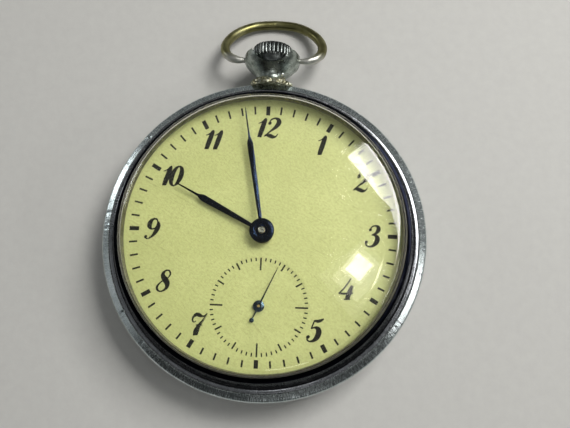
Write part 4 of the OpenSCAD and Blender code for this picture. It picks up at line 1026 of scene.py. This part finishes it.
def arbor_tip_piece():
    """The centre arbor's polished end, with its turning centre."""
    top = 9.72
    profile = [(0.0, top), (0.42, top), (0.43, top + 0.07), (0.35, top + 0.12), (0.24, top + 0.12),
               (0.16, top + 0.05), (0.0, top + 0.05)]
    obj = lathe("centre_arbor_tip", profile, [MAT["steel"]], None, 64, sharp=25)
    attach(obj, "centre_wheel_and_minute_hand")


def seconds_hand_piece():
    """The seconds hand, with a small round weight at its tail."""
    verts, faces = [], []
    z, tail_y = 8.25, -2.05
    blade(verts, faces, [(0.5, 0.11), (2.0, 0.08), (5.0, 0.05), (5.7, 0.03)], z, 0.07, 0.03)
    blade(verts, faces, [(tail_y, 0.07), (-1.2, 0.08), (-0.5, 0.11)], z, 0.07, 0.03)
    hub = [(0.2, z), (0.7, z), (0.76, z + 0.06), (0.74, z + 0.14), (0.62, z + 0.2), (0.3, z + 0.23),
           (0.2, z + 0.22)]
    boss(verts, faces, hub, 64)
    first = len(verts)
    weight = [(0.004, z), (0.28, z), (0.32, z + 0.04), (0.30, z + 0.1), (0.2, z + 0.13), (0.004, z + 0.14)]
    boss(verts, faces, weight, 40)
    verts[first:] = [(x, y + tail_y, h) for x, y, h in verts[first:]]
    points = placed(verts, SECOND_TURN, 0, SECONDS_Y)
    obj = make_object("seconds_hand_bevelled", points, faces, [MAT["second_hand"]], sharp=30)
    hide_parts("seconds_hand")
    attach(obj, "fourth_wheel_and_seconds_hand")


# ---- Stage, light and camera ----

def make_floor():
    """The plain table top, a hair below the watch."""
    half, z = 1.6, -0.01 * MM
    mesh = bpy.data.meshes.new("table_top")
    corners = [(-half, -half, z), (half, -half, z), (half, half, z), (-half, half, z)]
    mesh.from_pydata(corners, [], [[0, 1, 2, 3]])
    mesh.materials.append(table_top())
    obj = new_object("table_top", mesh)


def area_light(name, azimuth, elevation, distance, width, height, radiance, color, spin=0.0):
    """A rectangular soft light that faces the watch: angles in degrees, distance and sides in metres."""
    data = bpy.data.lights.new(name, "AREA")
    data.shape = "RECTANGLE"
    data.size, data.size_y = width, height
    data.energy = radiance * math.pi * width * height
    data.color = color
    obj = new_object(name, data)
    a, e = math.radians(azimuth), math.radians(elevation)
    d = Vector((math.cos(a) * math.cos(e), math.sin(a) * math.cos(e), math.sin(e)))
    facing = d.to_track_quat("Z", "Y").to_matrix() @ Matrix.Rotation(math.radians(spin), 3, "Z")
    obj.location = d * distance + Vector((0, 0, 0.01))
    obj.rotation_euler = facing.to_euler()


# The surround's brightness, from straight down at 0, past the horizon at 0.5, to straight up at 1
SURROUND = [
    (0.0, 0.35), (0.5, 0.10), (0.56, 0.24), (0.62, 0.24), (0.69, 0.07), (0.75, 0.015),
    (0.82, 0.03), (0.89, 0.40), (0.93, 0.35), (0.955, 0.13), (1.0, 0.13),
]
SURROUND_STRENGTH = 0.85
RED_SHARE = 0.97


def make_world():
    """A grey surround in soft bands, dim where the bezel's wall and the crystal's edge mirror it."""
    world = bpy.data.worlds.new("studio")
    bpy.context.scene.world = world
    world.use_nodes = True
    tree = world.node_tree
    back = tree.nodes["Background"]
    coords = tree.nodes.new("ShaderNodeTexCoord")
    parts = tree.nodes.new("ShaderNodeSeparateXYZ")
    tree.links.new(coords.outputs["Generated"], parts.inputs[0])
    ramp = tree.nodes.new("ShaderNodeValToRGB")
    fit = tree.nodes.new("ShaderNodeMapRange")
    fit.inputs["From Min"].default_value = -1.0
    tree.links.new(parts.outputs["Z"], fit.inputs["Value"])
    tree.links.new(fit.outputs["Result"], ramp.inputs["Fac"])
    while len(ramp.color_ramp.elements) < len(SURROUND):
        ramp.color_ramp.elements.new(0.5)
    for element, (position, level) in zip(ramp.color_ramp.elements, SURROUND):
        element.position = position
        element.color = (level * RED_SHARE, level, level, 1)
    tree.links.new(ramp.outputs["Color"], back.inputs["Color"])
    back.inputs["Strength"].default_value = SURROUND_STRENGTH


# The camera's place in millimetres, the directions of its right and top, and its lens
CAMERA_PLACE = Vector((6.868, -19.152, 100.54))
CAMERA_RIGHT = Vector((0.99862, 0.04103, -0.03268))
CAMERA_UP = Vector((-0.03239, 0.97240, 0.23105))
SENSOR_WIDTH = 36.0
FOCAL_LENGTH = 44.21


def make_camera():
    """A camera that looks steeply down on the dial."""
    data = bpy.data.cameras.new("camera")
    data.sensor_width = SENSOR_WIDTH
    data.lens = FOCAL_LENGTH
    data.clip_start, data.clip_end = 0.004, 20.0
    obj = new_object("camera", data)
    turn = Matrix((CAMERA_RIGHT, CAMERA_UP, CAMERA_RIGHT.cross(CAMERA_UP))).transposed()
    obj.matrix_world = Matrix.Translation(CAMERA_PLACE * MM) @ turn.to_4x4()
    bpy.context.scene.camera = obj


DAYLIGHT = (1.0, 0.99, 0.97)
SKYLIGHT = (0.95, 0.98, 1.0)


def make_lights():
    """A window for the crystal to mirror, a key light, strips for the turned rim, and two fills."""
    area_light("window", 28.0, 76.8, 0.8, 0.041, 0.047, 7.0, DAYLIGHT, 25.0)
    area_light("window_edge", 28.0, 77.0, 0.81, 0.054, 0.060, 1.8, DAYLIGHT, 25.0)
    area_light("window_haze", 23.5, 77.3, 0.82, 0.080, 0.100, 1.1, DAYLIGHT, 25.0)
    area_light("window_glow", 20.0, 77.5, 0.83, 0.13, 0.14, 0.45, DAYLIGHT, 20.0)
    area_light("key_upper_right", 38.0, 53.0, 0.34, 0.16, 0.16, 12.6, (1.0, 0.99, 0.965))
    area_light("strip_left", 153.0, 16.5, 0.8, 0.22, 0.09, 6.5, SKYLIGHT)
    area_light("strip_right", -9.0, 30.5, 0.8, 0.30, 0.08, 6.0, (1.0, 0.99, 0.98))
    area_light("strip_front", -79.0, 47.0, 0.8, 0.22, 0.14, 2.4, DAYLIGHT)
    area_light("fill_right", 25.0, 28.0, 0.9, 0.50, 0.26, 0.12, (0.97, 0.99, 1.0))
    area_light("fill_left", 190.0, 24.0, 0.9, 0.50, 0.26, 0.35, SKYLIGHT)


make_camera()
make_floor()
make_world()
make_lights()
bpy.context.scene.view_settings.view_transform = "Standard"

finish_nodes()
case_band_piece()
bezel_piece()
crystal_piece()
case_back_piece()
pendant_solder()
bow_piece()
crown_piece()
dial_printing()
hour_hand_piece()
minute_hand_piece()
arbor_tip_piece()
seconds_hand_piece()
